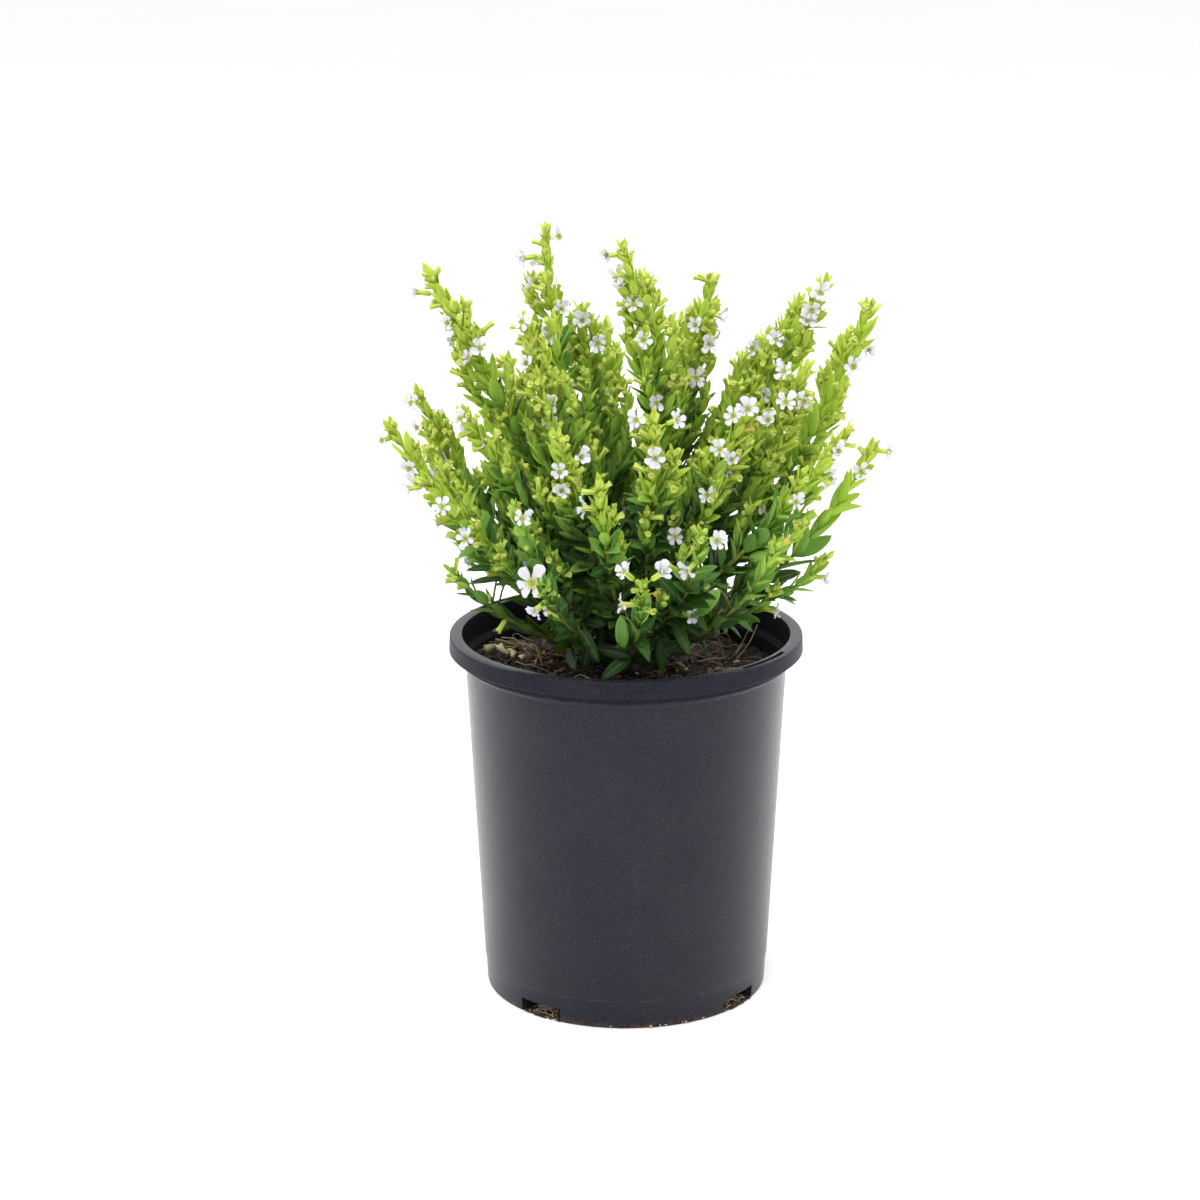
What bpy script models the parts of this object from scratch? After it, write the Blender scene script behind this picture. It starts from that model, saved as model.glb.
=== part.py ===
"""A white hyssop-leaved cuphea growing in a round nursery pot.

Metres, +Z up. The origin is on the ground, under the middle of the pot.
Azimuths are counted from the front (-Y) towards the right (+X).
"""

from math import cos, pi, radians, sin

import bmesh
import bpy
from mathutils import Matrix, Vector

GAP = 0.0003  # clearance between pieces that rest against each other

# Pot
POT_HEIGHT = 0.146
RIM_RADIUS = 0.070
LIP_WIDTH = 0.005
LIP_THICKNESS = 0.0015
SKIRT_HEIGHT = 0.0066
SKIRT_FLARE = 0.0002
SKIRT_THICKNESS = 0.0013
WALL = 0.0013
SHOULDER_DROP = 0.0095  # from the lip down to where the tapered body starts
SHOULDER_HEIGHT = 0.002
SHOULDER_STEP = 0.0062  # from the rim in to the top of the tapered body
FOOT_RADIUS = 0.0568
FOOT_BAND_HEIGHT = 0.0118
FOOT_BAND_STEP = 0.00035
FOOT_WALL = 0.0022
FLOOR_RISE = 0.0062
FLOOR_THICKNESS = 0.0015
LIP_EDGE = 0.0003  # rounding of the lip's inner edge
RIM_EDGE = 0.0006  # rounding of its outer edge
POT_STEPS = 72

# Drain notches in the foot, and the two hanger slots in the lip
FEATURE_AZIMUTH = radians(53)
NOTCH_COUNT = 4
NOTCH_ANGLE = radians(19.6)
NOTCH_HEIGHT = 0.0057
NOTCH_DEPTH = 0.009
CHEEK_THICKNESS = 0.0012
CHEEK_CLEARANCE = 0.0005  # the cheeks beside a notch stop short of the ground
CHEEK_OVERLAP_SHARE = 0.2  # of a cheek, cut off by its notch
CUT_MARGIN = 0.0004  # how far a cutter passes the faces that it meets
DRAIN_ANGLE = radians(14)
DRAIN_DEPTH = 0.006
SLOT_COUNT = 2
SLOT_ANGLE = radians(23)

# Potting mix and crown
HEADSPACE = 0.014
MIX_EDGE_DROP = 0.0025
MIX_FLAT_SHARE = 0.5  # of the radius, level round the crown
MIX_SLOPE_SHARE = 0.8  # of the radius, where the slope steepens
MIX_SLOPE_DROP_SHARE = 0.3
MIX_STEPS = 40
CROWN_RADIUS = 0.0042
CROWN_FLARE = 0.0012
CROWN_HEIGHT = 0.036
CROWN_DEPTH = 0.009
CROWN_LEVELS = (0.0, 0.4, 0.7, 1.0)  # shares of its height
CROWN_CAP_SHARE = 0.6
CROWN_CAP_EDGE_SHARE = 0.4
CROWN_ROOT_SHARE = 0.8
CROWN_STEPS = 14

# Shoots
STEM_HALF_WIDTH = 0.00085
STEM_TIP_SHARE = 0.6
STEM_LINE_STEPS = 24
FIRST_TIER = 0.004
TIER_RISE = 0.0085
NODE_SPACING = 0.012
LAST_NODE = 0.005  # from the tip down to the last pair of leaves
NODE_HEIGHT = 0.0012
FIRST_NODE_SHARE = 0.30
LEAF_LENGTH = 0.015
LEAF_SHORTEST = 0.005
LEAF_WIDTH_SHARE = 0.30
LEAF_WIDEST_SHARE = 0.5  # of the way along it
LEAF_HALF_THICKNESS = 0.00035
LEAF_ANGLE = radians(44)
LEAF_DROOP_SHARE = 0.12
ROOM_SHARE = 0.42  # of the way to the next stem that a leaf may fill
CLEAR_SHARE = 0.8  # of the way to the pot, the mix or the crown
FLOWER_CLEAR_SHARE = 1.35  # of a flower's reach, which leaves stay out of

# Flowers
TUBE_LENGTH = 0.0055
TUBE_RADIUS = 0.0011
PETAL_REACH = 0.0052
PETAL_COUNT = 6
PETAL_NOTCH_SHARE = 0.42
PETAL_START_SHARE = 0.5  # of the reach, where the petals begin to part
PETAL_START_NOTCH_SHARE = 0.28
TUBE_BASE_SHARE = 0.6
THROAT_HEIGHT_SHARE = 1.25  # of the tube's length
PETAL_START_HEIGHT_SHARE = 1.2
PETAL_TIP_HEIGHT_SHARE = 1.36
FLOWER_ANGLE = radians(66)

# Each shoot: tier on the crown, a point halfway along it, and its tip.
# Heights are above the potting mix.
SHOOTS = (
    (3, (-0.038, -0.002, 0.087), (-0.076, -0.006, 0.159)),
    (4, (-0.023, 0.005, 0.104), (-0.031, 0.006, 0.174)),
    (4, (0.011, -0.009, 0.103), (-0.002, -0.020, 0.172)),
    (4, (0.021, 0.008, 0.090), (0.033, 0.012, 0.154)),
    (3, (0.043, 0.002, 0.092), (0.077, 0.000, 0.154)),
    (2, (0.056, -0.006, 0.068), (0.094, -0.012, 0.148)),
    (1, (0.060, -0.015, 0.044), (0.096, -0.010, 0.092)),
    (2, (0.050, -0.032, 0.060), (0.084, -0.036, 0.104)),
    (2, (-0.050, 0.012, 0.052), (-0.082, 0.014, 0.108)),
    (1, (-0.056, -0.010, 0.050), (-0.091, -0.016, 0.102)),
    (3, (-0.038, -0.020, 0.070), (-0.062, -0.030, 0.110)),
    (4, (-0.012, 0.020, 0.088), (-0.018, 0.024, 0.140)),
    (4, (-0.022, -0.014, 0.083), (-0.038, -0.018, 0.142)),
    (3, (-0.006, 0.034, 0.074), (-0.008, 0.050, 0.128)),
    (3, (0.018, 0.028, 0.076), (0.022, 0.036, 0.132)),
    (3, (-0.016, -0.032, 0.062), (-0.026, -0.048, 0.104)),
    (2, (-0.006, -0.044, 0.050), (-0.010, -0.066, 0.090)),
    (3, (0.010, -0.034, 0.066), (0.010, -0.054, 0.112)),
    (2, (-0.028, -0.036, 0.042), (-0.042, -0.060, 0.080)),
    (1, (-0.020, -0.048, 0.028), (-0.030, -0.080, 0.056)),
    (1, (0.004, -0.048, 0.024), (0.006, -0.081, 0.056)),
    (2, (0.020, -0.042, 0.036), (0.028, -0.068, 0.072)),
    (3, (0.026, -0.029, 0.068), (0.046, -0.038, 0.112)),
    (3, (0.044, -0.018, 0.078), (0.068, -0.030, 0.126)),
    (3, (0.036, 0.020, 0.076), (0.056, 0.028, 0.128)),
    (1, (0.038, -0.042, 0.032), (0.056, -0.062, 0.066)),
    (1, (-0.040, -0.028, 0.024), (-0.066, -0.042, 0.050)),
    (2, (-0.044, -0.024, 0.048), (-0.076, -0.040, 0.086)),
    (3, (-0.032, 0.030, 0.064), (-0.048, 0.048, 0.116)),
    (2, (0.004, 0.048, 0.052), (0.008, 0.072, 0.100)),
    (2, (0.034, 0.044, 0.050), (0.048, 0.064, 0.100)),
    (1, (-0.050, 0.030, 0.028), (-0.080, 0.046, 0.066)),
    (1, (0.054, 0.026, 0.034), (0.084, 0.040, 0.080)),
    (1, (-0.024, 0.050, 0.028), (-0.036, 0.073, 0.064)),
)

# Each flower: its shoot, how many nodes below the tip, and the side of the stem.
FLOWERS = (
    (0, 1, 1),
    (1, 1, 1),
    (2, 1, 1),
    (3, 1, 1),
    (4, 1, 1),
    (5, 1, 1),
    (6, 1, 1),
    (8, 1, 1),
    (10, 1, 1),
    (16, 1, 1),
    (19, 1, 1),
    (20, 1, 1),
    (21, 1, 1),
    (23, 1, 1),
    (29, 1, 1),
    (32, 1, 1),
)

# Loose pieces on the potting mix: azimuth, distance in from the pot's wall, size, turn.
PERLITE = (
    (radians(-44), 0.0125, (0.0070, 0.0055, 0.0040), radians(20)),
    (radians(-30), 0.0105, (0.0045, 0.0035, 0.0030), radians(70)),
    (radians(-66), 0.0105, (0.0050, 0.0040, 0.0034), radians(-30)),
)
BARK = (
    (radians(30), 0.0155, (0.0110, 0.0050, 0.0030), radians(35)),
    (radians(6), 0.0085, (0.0080, 0.0045, 0.0026), radians(-15)),
)
CHIP_BEVEL_SHARE = 0.12

MIX_TOP = POT_HEIGHT - HEADSPACE
SHOULDER = POT_HEIGHT - SHOULDER_DROP
BODY_TOP_RADIUS = RIM_RADIUS - SHOULDER_STEP


def clear_scene():
    for obj in list(bpy.data.objects):
        bpy.data.objects.remove(obj)


def collection(name, hidden=False):
    made = bpy.data.collections.new(name)
    made.hide_render = hidden
    bpy.context.scene.collection.children.link(made)
    return made


def material(name, colour, roughness):
    made = bpy.data.materials.new(name)
    made.use_nodes = True
    shader = made.node_tree.nodes["Principled BSDF"]
    shader.inputs["Base Color"].default_value = (*colour, 1.0)
    shader.inputs["Roughness"].default_value = roughness
    shader.inputs["Metallic"].default_value = 0.0
    made.diffuse_color = (*colour, 1.0)
    return made


def add_object(name, mesh, group, finish=None):
    made = bpy.data.objects.new(name, mesh)
    if finish is not None and not mesh.materials:
        mesh.materials.append(finish)
    group.objects.link(made)
    return made


def mesh_of(bm, name):
    bmesh.ops.recalc_face_normals(bm, faces=bm.faces)
    mesh = bpy.data.meshes.new(name)
    bm.to_mesh(mesh)
    bm.free()
    return mesh


def turned(name, profile, steps, group, finish):
    """A profile of (radius, height) pairs, from axis to axis, turned once round Z."""
    mesh = bpy.data.meshes.new(name)
    edges = [(i, i + 1) for i in range(len(profile) - 1)]
    mesh.from_pydata([(r, 0, z) for r, z in profile], edges, [])
    made = add_object(name, mesh, group, finish)
    screw = made.modifiers.new("Turn", "SCREW")
    screw.steps = screw.render_steps = steps
    screw.use_merge_vertices = True
    screw.merge_threshold = 0.00001
    screw.use_smooth_shade = True
    return made


def ring_sector(name, inner, outer, low, high, azimuth, angle, group, steps=8):
    """A block bent round Z, centred on an azimuth."""
    bm = bmesh.new()
    corners = [bm.verts.new((r, 0, z)) for r, z in
               ((inner, low), (outer, low), (outer, high), (inner, high))]
    face = bm.faces.new(corners)
    start = azimuth - pi / 2 - angle / 2
    bmesh.ops.rotate(bm, verts=corners, cent=(0, 0, 0), matrix=Matrix.Rotation(start, 3, "Z"))
    bmesh.ops.spin(bm, geom=[face, *face.edges, *corners], cent=(0, 0, 0), axis=(0, 0, 1),
                   dvec=(0, 0, 0), angle=angle, steps=steps, use_duplicate=False)
    made = add_object(name, mesh_of(bm, name), group)
    made.display_type = "WIRE"
    made.hide_render = True
    return made


def boolean(target, other, operation):
    cut = target.modifiers.new(other.name, "BOOLEAN")
    cut.operation = operation
    cut.object = other


def body_radius(z):
    """Outer radius of the tapered body at a height."""
    return FOOT_RADIUS + (BODY_TOP_RADIUS - FOOT_RADIUS) * z / (SHOULDER - SHOULDER_HEIGHT)


def pot_profile():
    lip_inner = RIM_RADIUS - LIP_WIDTH
    skirt_low = POT_HEIGHT - SKIRT_HEIGHT
    lip_low = POT_HEIGHT - LIP_THICKNESS
    floor_top = FLOOR_RISE + FLOOR_THICKNESS
    body_top = SHOULDER - SHOULDER_HEIGHT
    return (
        (0, floor_top),
        (body_radius(floor_top) - WALL, floor_top),
        (BODY_TOP_RADIUS - WALL, body_top),
        (lip_inner, SHOULDER),
        (lip_inner, POT_HEIGHT - LIP_EDGE),
        (lip_inner + LIP_EDGE, POT_HEIGHT),
        (RIM_RADIUS - RIM_EDGE, POT_HEIGHT),
        (RIM_RADIUS, POT_HEIGHT - RIM_EDGE),
        (RIM_RADIUS + SKIRT_FLARE, skirt_low),
        (RIM_RADIUS + SKIRT_FLARE - SKIRT_THICKNESS, skirt_low),
        (RIM_RADIUS - SKIRT_THICKNESS, lip_low),
        (lip_inner + WALL, lip_low),
        (lip_inner + WALL, SHOULDER),
        (BODY_TOP_RADIUS, body_top),
        (body_radius(FOOT_BAND_HEIGHT), FOOT_BAND_HEIGHT),
        (body_radius(FOOT_BAND_HEIGHT) - FOOT_BAND_STEP, FOOT_BAND_HEIGHT - FOOT_BAND_STEP),
        (FOOT_RADIUS - FOOT_BAND_STEP, 0),
        (FOOT_RADIUS - FOOT_BAND_STEP - FOOT_WALL, 0),
        (FOOT_RADIUS - FOOT_BAND_STEP - FOOT_WALL, FLOOR_RISE),
        (0, FLOOR_RISE),
    )


def make_pot(parts, cutters, finish):
    pot = turned("pot", pot_profile(), POT_STEPS, parts, finish)
    foot_inner = FOOT_RADIUS - FOOT_BAND_STEP - FOOT_WALL
    cheek_angle = CHEEK_THICKNESS / foot_inner
    for i in range(NOTCH_COUNT):
        azimuth = FEATURE_AZIMUTH + 2 * pi * i / NOTCH_COUNT
        for side in (-1, 1):
            offset = NOTCH_ANGLE + cheek_angle * (1 - CHEEK_OVERLAP_SHARE)
            turn = azimuth + side * offset / 2
            cheek = ring_sector(f"cheek_{i}_{side + 1}", FOOT_RADIUS - NOTCH_DEPTH,
                                foot_inner + FOOT_WALL / 2, CHEEK_CLEARANCE,
                                FLOOR_RISE + FLOOR_THICKNESS / 2, turn, cheek_angle, cutters, 1)
            boolean(pot, cheek, "UNION")
        notch = ring_sector(f"notch_{i}", FOOT_RADIUS - NOTCH_DEPTH - CUT_MARGIN, RIM_RADIUS,
                            -WALL, NOTCH_HEIGHT, azimuth, NOTCH_ANGLE, cutters)
        boolean(pot, notch, "DIFFERENCE")
        drain = ring_sector(f"drain_{i}", foot_inner - DRAIN_DEPTH, foot_inner - CUT_MARGIN,
                            NOTCH_HEIGHT - WALL, FLOOR_RISE + FLOOR_THICKNESS + WALL,
                            azimuth, DRAIN_ANGLE, cutters)
        boolean(pot, drain, "DIFFERENCE")
    for i in range(SLOT_COUNT):
        slot = ring_sector(f"slot_{i}", RIM_RADIUS - LIP_WIDTH + WALL + GAP,
                           RIM_RADIUS - SKIRT_THICKNESS - GAP,
                           POT_HEIGHT - LIP_THICKNESS - WALL, POT_HEIGHT + WALL,
                           FEATURE_AZIMUTH + 2 * pi * i / SLOT_COUNT, SLOT_ANGLE, cutters)
        boolean(pot, slot, "DIFFERENCE")
    return pot


def crown_radius(height):
    """Radius of the woody crown at a height above the potting mix, flared where it meets it."""
    return CROWN_RADIUS + CROWN_FLARE * max(0.0, 1.0 - height / (4 * CROWN_FLARE))


def make_mix(parts, finish):
    """The potting mix fills the pot, with a socket where the crown stands in it."""
    floor = FLOOR_RISE + FLOOR_THICKNESS + GAP
    edge = MIX_TOP - MIX_EDGE_DROP
    socket = crown_radius(0) + GAP
    wall_clear = WALL + GAP
    top_radius = body_radius(MIX_TOP)
    profile = (
        (0, MIX_TOP - CROWN_DEPTH - GAP),
        (socket, MIX_TOP - CROWN_DEPTH - GAP),
        (socket, MIX_TOP),
        (top_radius * MIX_FLAT_SHARE, MIX_TOP),
        (top_radius * MIX_SLOPE_SHARE, MIX_TOP - MIX_EDGE_DROP * MIX_SLOPE_DROP_SHARE),
        (body_radius(edge) - wall_clear, edge),
        (body_radius(floor) - wall_clear, floor),
        (0, floor),
    )
    return turned("potting_mix", profile, MIX_STEPS, parts, finish)


def make_crown(parts, finish):
    top = MIX_TOP + CROWN_HEIGHT
    heights = [CROWN_HEIGHT * share for share in reversed(CROWN_LEVELS)]
    side = [(crown_radius(height), MIX_TOP + height) for height in heights]
    profile = (
        (0, top + CROWN_RADIUS * CROWN_CAP_SHARE),
        (CROWN_RADIUS * CROWN_CAP_SHARE, top + CROWN_RADIUS * CROWN_CAP_EDGE_SHARE),
        *side,
        (crown_radius(0) * CROWN_ROOT_SHARE, MIX_TOP - CROWN_DEPTH),
        (0, MIX_TOP - CROWN_DEPTH),
    )
    return turned("crown", profile, CROWN_STEPS, parts, finish)


def half_width_at(t):
    """Half the side of a stem, which narrows to its tip."""
    return STEM_HALF_WIDTH * (1 - (1 - STEM_TIP_SHARE) * t)


class Stem:
    """The line that a shoot follows, from its seat on the crown to its tip."""

    def __init__(self, index, tier, middle, tip):
        self.index = index
        lift = Vector((0, 0, MIX_TOP))
        middle = Vector(middle) + lift
        self.tip = Vector(tip) + lift
        outward = Vector((middle.x, middle.y, 0)).normalized()
        height = FIRST_TIER + TIER_RISE * (tier - 1)
        reach = crown_radius(height) + GAP + STEM_HALF_WIDTH
        self.base = outward * reach + Vector((0, 0, MIX_TOP + height))
        self.bend = middle * 2 - (self.base + self.tip) / 2
        self.side = (self.tip - self.base).cross(Vector((0, 0, 1))).normalized()
        self.line = [self.at(i / STEM_LINE_STEPS) for i in range(STEM_LINE_STEPS + 1)]
        self.length = sum((b - a).length for a, b in zip(self.line, self.line[1:]))
        count = int((self.length * (1 - FIRST_NODE_SHARE) - LAST_NODE) / NODE_SPACING)
        self.nodes = [1 - (LAST_NODE + i * NODE_SPACING) / self.length
                      for i in range(count, -1, -1)]

    def at(self, t):
        return self.base * (1 - t) ** 2 + self.bend * (2 * t * (1 - t)) + self.tip * t * t

    def along(self, t):
        return ((self.bend - self.base) * (1 - t) + (self.tip - self.bend) * t).normalized()

    def across(self, t):
        """Two directions square to the stem and to each other."""
        along = self.along(t)
        first = (self.side - along * self.side.dot(along)).normalized()
        second = along.cross(first)
        roll = pi / 4 * (self.index % 2)
        return first * cos(roll) + second * sin(roll), second * cos(roll) - first * sin(roll)

    def corners(self, t):
        first, second = self.across(t)
        half = half_width_at(t)
        return [self.at(t) + first * a + second * b for a, b in
                ((half, half), (-half, half), (-half, -half), (half, -half))]

    def flower_place(self, place, side):
        """Where a flower sits at a node, and the way it points."""
        t = self.nodes[-1 - place]
        first, second = self.across(t)
        out = (first if place % 2 else second) * side
        point = out * sin(FLOWER_ANGLE) + self.along(t) * cos(FLOWER_ANGLE)
        return self.at(t) + out * (STEM_HALF_WIDTH + GAP) + point * TUBE_RADIUS, point


def distance_to_line(point, line):
    nearest = 1.0
    for a, b in zip(line, line[1:]):
        step = b - a
        share = min(1.0, max(0.0, (point - a).dot(step) / step.length_squared))
        nearest = min(nearest, (a + step * share - point).length)
    return nearest


def leaf_room(stem, t, stems, blooms):
    """Free distance round a node: to the other stems, the crown, the pot and the flowers."""
    point = stem.at(t)
    to_stems = min(distance_to_line(point, other.line) for other in stems if other is not stem)
    radius = Vector((point.x, point.y)).length
    to_rim = Vector((max(0.0, RIM_RADIUS - LIP_WIDTH - radius), point.z - POT_HEIGHT)).length
    if radius < RIM_RADIUS and point.z < POT_HEIGHT + LEAF_LENGTH:
        to_rim = min(to_rim, point.z - MIX_TOP)
    to_crown = radius - CROWN_RADIUS
    room = min(to_stems * ROOM_SHARE, to_rim * CLEAR_SHARE, to_crown * CLEAR_SHARE)
    reach = max(TUBE_LENGTH, PETAL_REACH) * FLOWER_CLEAR_SHARE
    for centre in blooms:
        room = min(room, (centre - point).length - reach)
    return room


def extrude(bm, face, points):
    """Pulls a face out to new corner points, and returns it."""
    new = bmesh.ops.extrude_discrete_faces(bm, faces=[face])["faces"][0]
    for vert, point in zip(new.verts, points):
        vert.co = point
    return new


def grow_leaf(bm, face, stem, t, length):
    """Pulls a leaf out of one face of the stem: a flat blade that narrows to its tip."""
    centre = face.calc_center_median()
    along = stem.along(t)
    out = centre - stem.at(t)
    out = (out - along * out.dot(along)).normalized()
    wide = along.cross(out)
    point = out * sin(LEAF_ANGLE) + along * cos(LEAF_ANGLE)
    flat = point.cross(wide)
    drop = Vector((0, 0, -LEAF_DROOP_SHARE * length))
    for share, width in ((LEAF_WIDEST_SHARE, LEAF_WIDTH_SHARE * length / 2), (1.0, 0.0)):
        middle = centre + point * (length * share) + drop * share * share
        corners = []
        for vert in face.verts:
            offset = vert.co - face.calc_center_median()
            across = wide * (width if offset.dot(wide) > 0 else -width)
            through = flat * (LEAF_HALF_THICKNESS if offset.dot(flat) > 0 else -LEAF_HALF_THICKNESS)
            corners.append(middle + across + through)
        face = extrude(bm, face, corners)
    bmesh.ops.pointmerge(bm, verts=list(face.verts), merge_co=middle)


def make_shoot(stem, stems, blooms, taken, parts, finish):
    """One shoot, grown as one piece: a square stem with pairs of leaves, each pair
    turned a quarter round from the last."""
    bm = bmesh.new()
    start = bmesh.ops.create_circle(bm, segments=4, radius=1.0, cap_ends=True)["verts"]
    face = start[0].link_faces[0]
    for vert, point in zip(face.verts, stem.corners(0)):
        vert.co = point
    half_node = NODE_HEIGHT / 2 / stem.length
    for i, t in enumerate(stem.nodes):
        face = extrude(bm, face, stem.corners(t - half_node))
        face = extrude(bm, face, stem.corners(t + half_node))
        length = min(LEAF_LENGTH, leaf_room(stem, t, stems, blooms))
        if length < LEAF_SHORTEST:
            continue
        sides = [next(f for f in edge.link_faces if f is not face) for edge in face.edges]
        from_tip = len(stem.nodes) - 1 - i
        first, second = stem.across(t)
        pair = first if from_tip % 2 else second
        for leaf_face in sides:
            out = (leaf_face.calc_center_median() - stem.at(t)).dot(pair)
            bloom = (stem.index, from_tip, 1 if out > 0 else -1)
            faces_pair = abs(out) > half_width_at(t) / 2
            if faces_pair and bloom not in taken:
                grow_leaf(bm, leaf_face, stem, t, length)
    face = extrude(bm, face, stem.corners(1.0))
    bmesh.ops.pointmerge(bm, verts=list(face.verts), merge_co=stem.tip)
    bmesh.ops.holes_fill(bm, edges=[e for e in bm.edges if e.is_boundary], sides=4)
    name = f"shoot_{stem.index + 1:02d}"
    return add_object(name, mesh_of(bm, name), parts, finish)


def blossom_mesh(finish):
    """A calyx tube that opens into a star of petals, pointing along +Z."""
    bm = bmesh.new()
    count = 2 * PETAL_COUNT
    start = bmesh.ops.create_circle(bm, segments=count, radius=1.0, cap_ends=True)["verts"]
    face = start[0].link_faces[0]
    # Height, then the radius along each petal and the radius between two petals.
    rings = (
        (0.0, TUBE_RADIUS * TUBE_BASE_SHARE, TUBE_RADIUS * TUBE_BASE_SHARE),
        (TUBE_LENGTH, TUBE_RADIUS, TUBE_RADIUS),
        (TUBE_LENGTH * PETAL_START_HEIGHT_SHARE, PETAL_REACH * PETAL_START_SHARE,
         PETAL_REACH * PETAL_START_NOTCH_SHARE),
        (TUBE_LENGTH * PETAL_TIP_HEIGHT_SHARE, PETAL_REACH, PETAL_REACH * PETAL_NOTCH_SHARE),
    )
    for place, (z, at_petal, between) in enumerate(rings):
        points = []
        for i in range(count):
            radius = at_petal if i % 2 else between
            turn = 2 * pi * i / count
            points.append(Vector((radius * cos(turn), radius * sin(turn), z)))
        if place:
            face = extrude(bm, face, points)
        else:
            for vert, point in zip(face.verts, points):
                vert.co = point
    throat = Vector((0, 0, TUBE_LENGTH * THROAT_HEIGHT_SHARE))
    face = extrude(bm, face, [throat] * count)
    bmesh.ops.pointmerge(bm, verts=list(face.verts), merge_co=throat)
    bmesh.ops.holes_fill(bm, edges=[e for e in bm.edges if e.is_boundary], sides=count)
    mesh = mesh_of(bm, "blossom")
    mesh.materials.append(finish)
    return mesh


def make_flowers(stems, parts, finish):
    mesh = blossom_mesh(finish)
    for number, (shoot, place, side) in enumerate(FLOWERS, 1):
        seat, point = stems[shoot].flower_place(place, side)
        flower = add_object(f"flower_{number:02d}", mesh, parts)
        flower.rotation_euler = point.to_track_quat("Z", "Y").to_euler()
        flower.location = seat


def mix_surface(radius):
    """A height that the potting mix stays under at a distance from the middle."""
    wall = body_radius(MIX_TOP)
    flat = wall * MIX_FLAT_SHARE
    slope = wall * MIX_SLOPE_SHARE
    to_slope = min(1.0, max(0.0, (radius - flat) / (slope - flat)))
    return MIX_TOP - MIX_EDGE_DROP * MIX_SLOPE_DROP_SHARE * to_slope


def make_loose_pieces(parts, perlite, bark):
    wall = body_radius(MIX_TOP) - WALL
    for kind, finish, pieces in (("perlite", perlite, PERLITE), ("bark_chip", bark, BARK)):
        for number, (azimuth, inset, size, turn) in enumerate(pieces, 1):
            bm = bmesh.new()
            if kind == "perlite":
                bmesh.ops.create_icosphere(bm, subdivisions=1, radius=0.5)
            else:
                bmesh.ops.create_cube(bm, size=1.0)
                bmesh.ops.bevel(bm, geom=list(bm.edges), offset=CHIP_BEVEL_SHARE, segments=1,
                                affect="EDGES")
            bmesh.ops.scale(bm, verts=bm.verts, vec=size)
            name = f"{kind}_{number}"
            piece = add_object(name, mesh_of(bm, name), parts, finish)
            piece.rotation_euler = (0, 0, turn)
            distance = wall - inset
            height = mix_surface(distance - size[0] / 2) + GAP + size[2] / 2
            piece.location = (distance * sin(azimuth), -distance * cos(azimuth), height)


def main():
    clear_scene()
    parts = collection("potted_cuphea")
    cutters = collection("cutters", hidden=True)
    plastic = material("pot_plastic", (0.045, 0.047, 0.055), 0.45)
    mix = material("potting_mix", (0.030, 0.018, 0.012), 0.95)
    wood = material("woody_stem", (0.13, 0.085, 0.045), 0.8)
    foliage = material("foliage", (0.16, 0.34, 0.05), 0.5)
    petals = material("petals", (0.86, 0.85, 0.88), 0.6)
    perlite = material("perlite", (0.60, 0.58, 0.48), 0.9)
    bark = material("bark", (0.20, 0.11, 0.06), 0.9)

    make_pot(parts, cutters, plastic)
    make_mix(parts, mix)
    make_crown(parts, wood)
    stems = [Stem(i, *shoot) for i, shoot in enumerate(SHOOTS)]
    blooms = []
    for shoot, place, side in FLOWERS:
        seat, point = stems[shoot].flower_place(place, side)
        blooms.append(seat + point * TUBE_LENGTH)
    for stem in stems:
        make_shoot(stem, stems, blooms, set(FLOWERS), parts, foliage)
    make_flowers(stems, parts, petals)
    make_loose_pieces(parts, perlite, bark)


main()
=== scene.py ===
"""Looks of a white false heather in a black nursery pot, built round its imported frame.

Metres, +Z up, front towards -Y. Each shape that grows, such as a leaf, a tube or a twig, is a stack
of rings closed at both ends, and a bundle joins many of them into one piece.
"""

from math import cos, pi, radians, sin, sqrt

import bmesh
import bpy
import numpy as np
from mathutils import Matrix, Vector, noise


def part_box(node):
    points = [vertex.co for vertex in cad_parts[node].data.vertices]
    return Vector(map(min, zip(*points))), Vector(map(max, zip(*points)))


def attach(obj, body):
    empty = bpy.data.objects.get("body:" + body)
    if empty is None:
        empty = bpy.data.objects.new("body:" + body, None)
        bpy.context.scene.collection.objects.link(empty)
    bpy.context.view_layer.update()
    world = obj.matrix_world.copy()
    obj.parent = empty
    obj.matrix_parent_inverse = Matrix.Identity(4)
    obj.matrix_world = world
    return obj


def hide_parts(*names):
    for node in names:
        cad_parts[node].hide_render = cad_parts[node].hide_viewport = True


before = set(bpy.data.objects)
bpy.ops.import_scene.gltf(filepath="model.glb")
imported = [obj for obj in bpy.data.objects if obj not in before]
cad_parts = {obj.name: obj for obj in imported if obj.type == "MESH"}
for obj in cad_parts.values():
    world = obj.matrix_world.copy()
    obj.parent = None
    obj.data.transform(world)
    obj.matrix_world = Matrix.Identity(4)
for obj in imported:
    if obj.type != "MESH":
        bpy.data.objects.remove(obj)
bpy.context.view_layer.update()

MM = 0.001
UP = np.array((0.0, 0.0, 1.0))
GOLDEN_TURN = radians(137.5)

# Camera and light
CAMERA_PLACE = (0.0, -1.126, 0.476)
CAMERA_PITCH = radians(15.74)
CAMERA_LENS = 88.7
CAMERA_SHIFT = -0.0217
FRONT_GLOW = 0.75
BACK_GLOW = 1.35
FLOOR_REACH = 16

# Height of the faint seam round the pot's foot
SEAM_HEIGHT = 0.0116

# Values that each point of a bundle carries for its finish
POINT_VALUES = ("age", "along", "across", "tone", "under")


# ---------------------------------------------------------------- finishes

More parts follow.
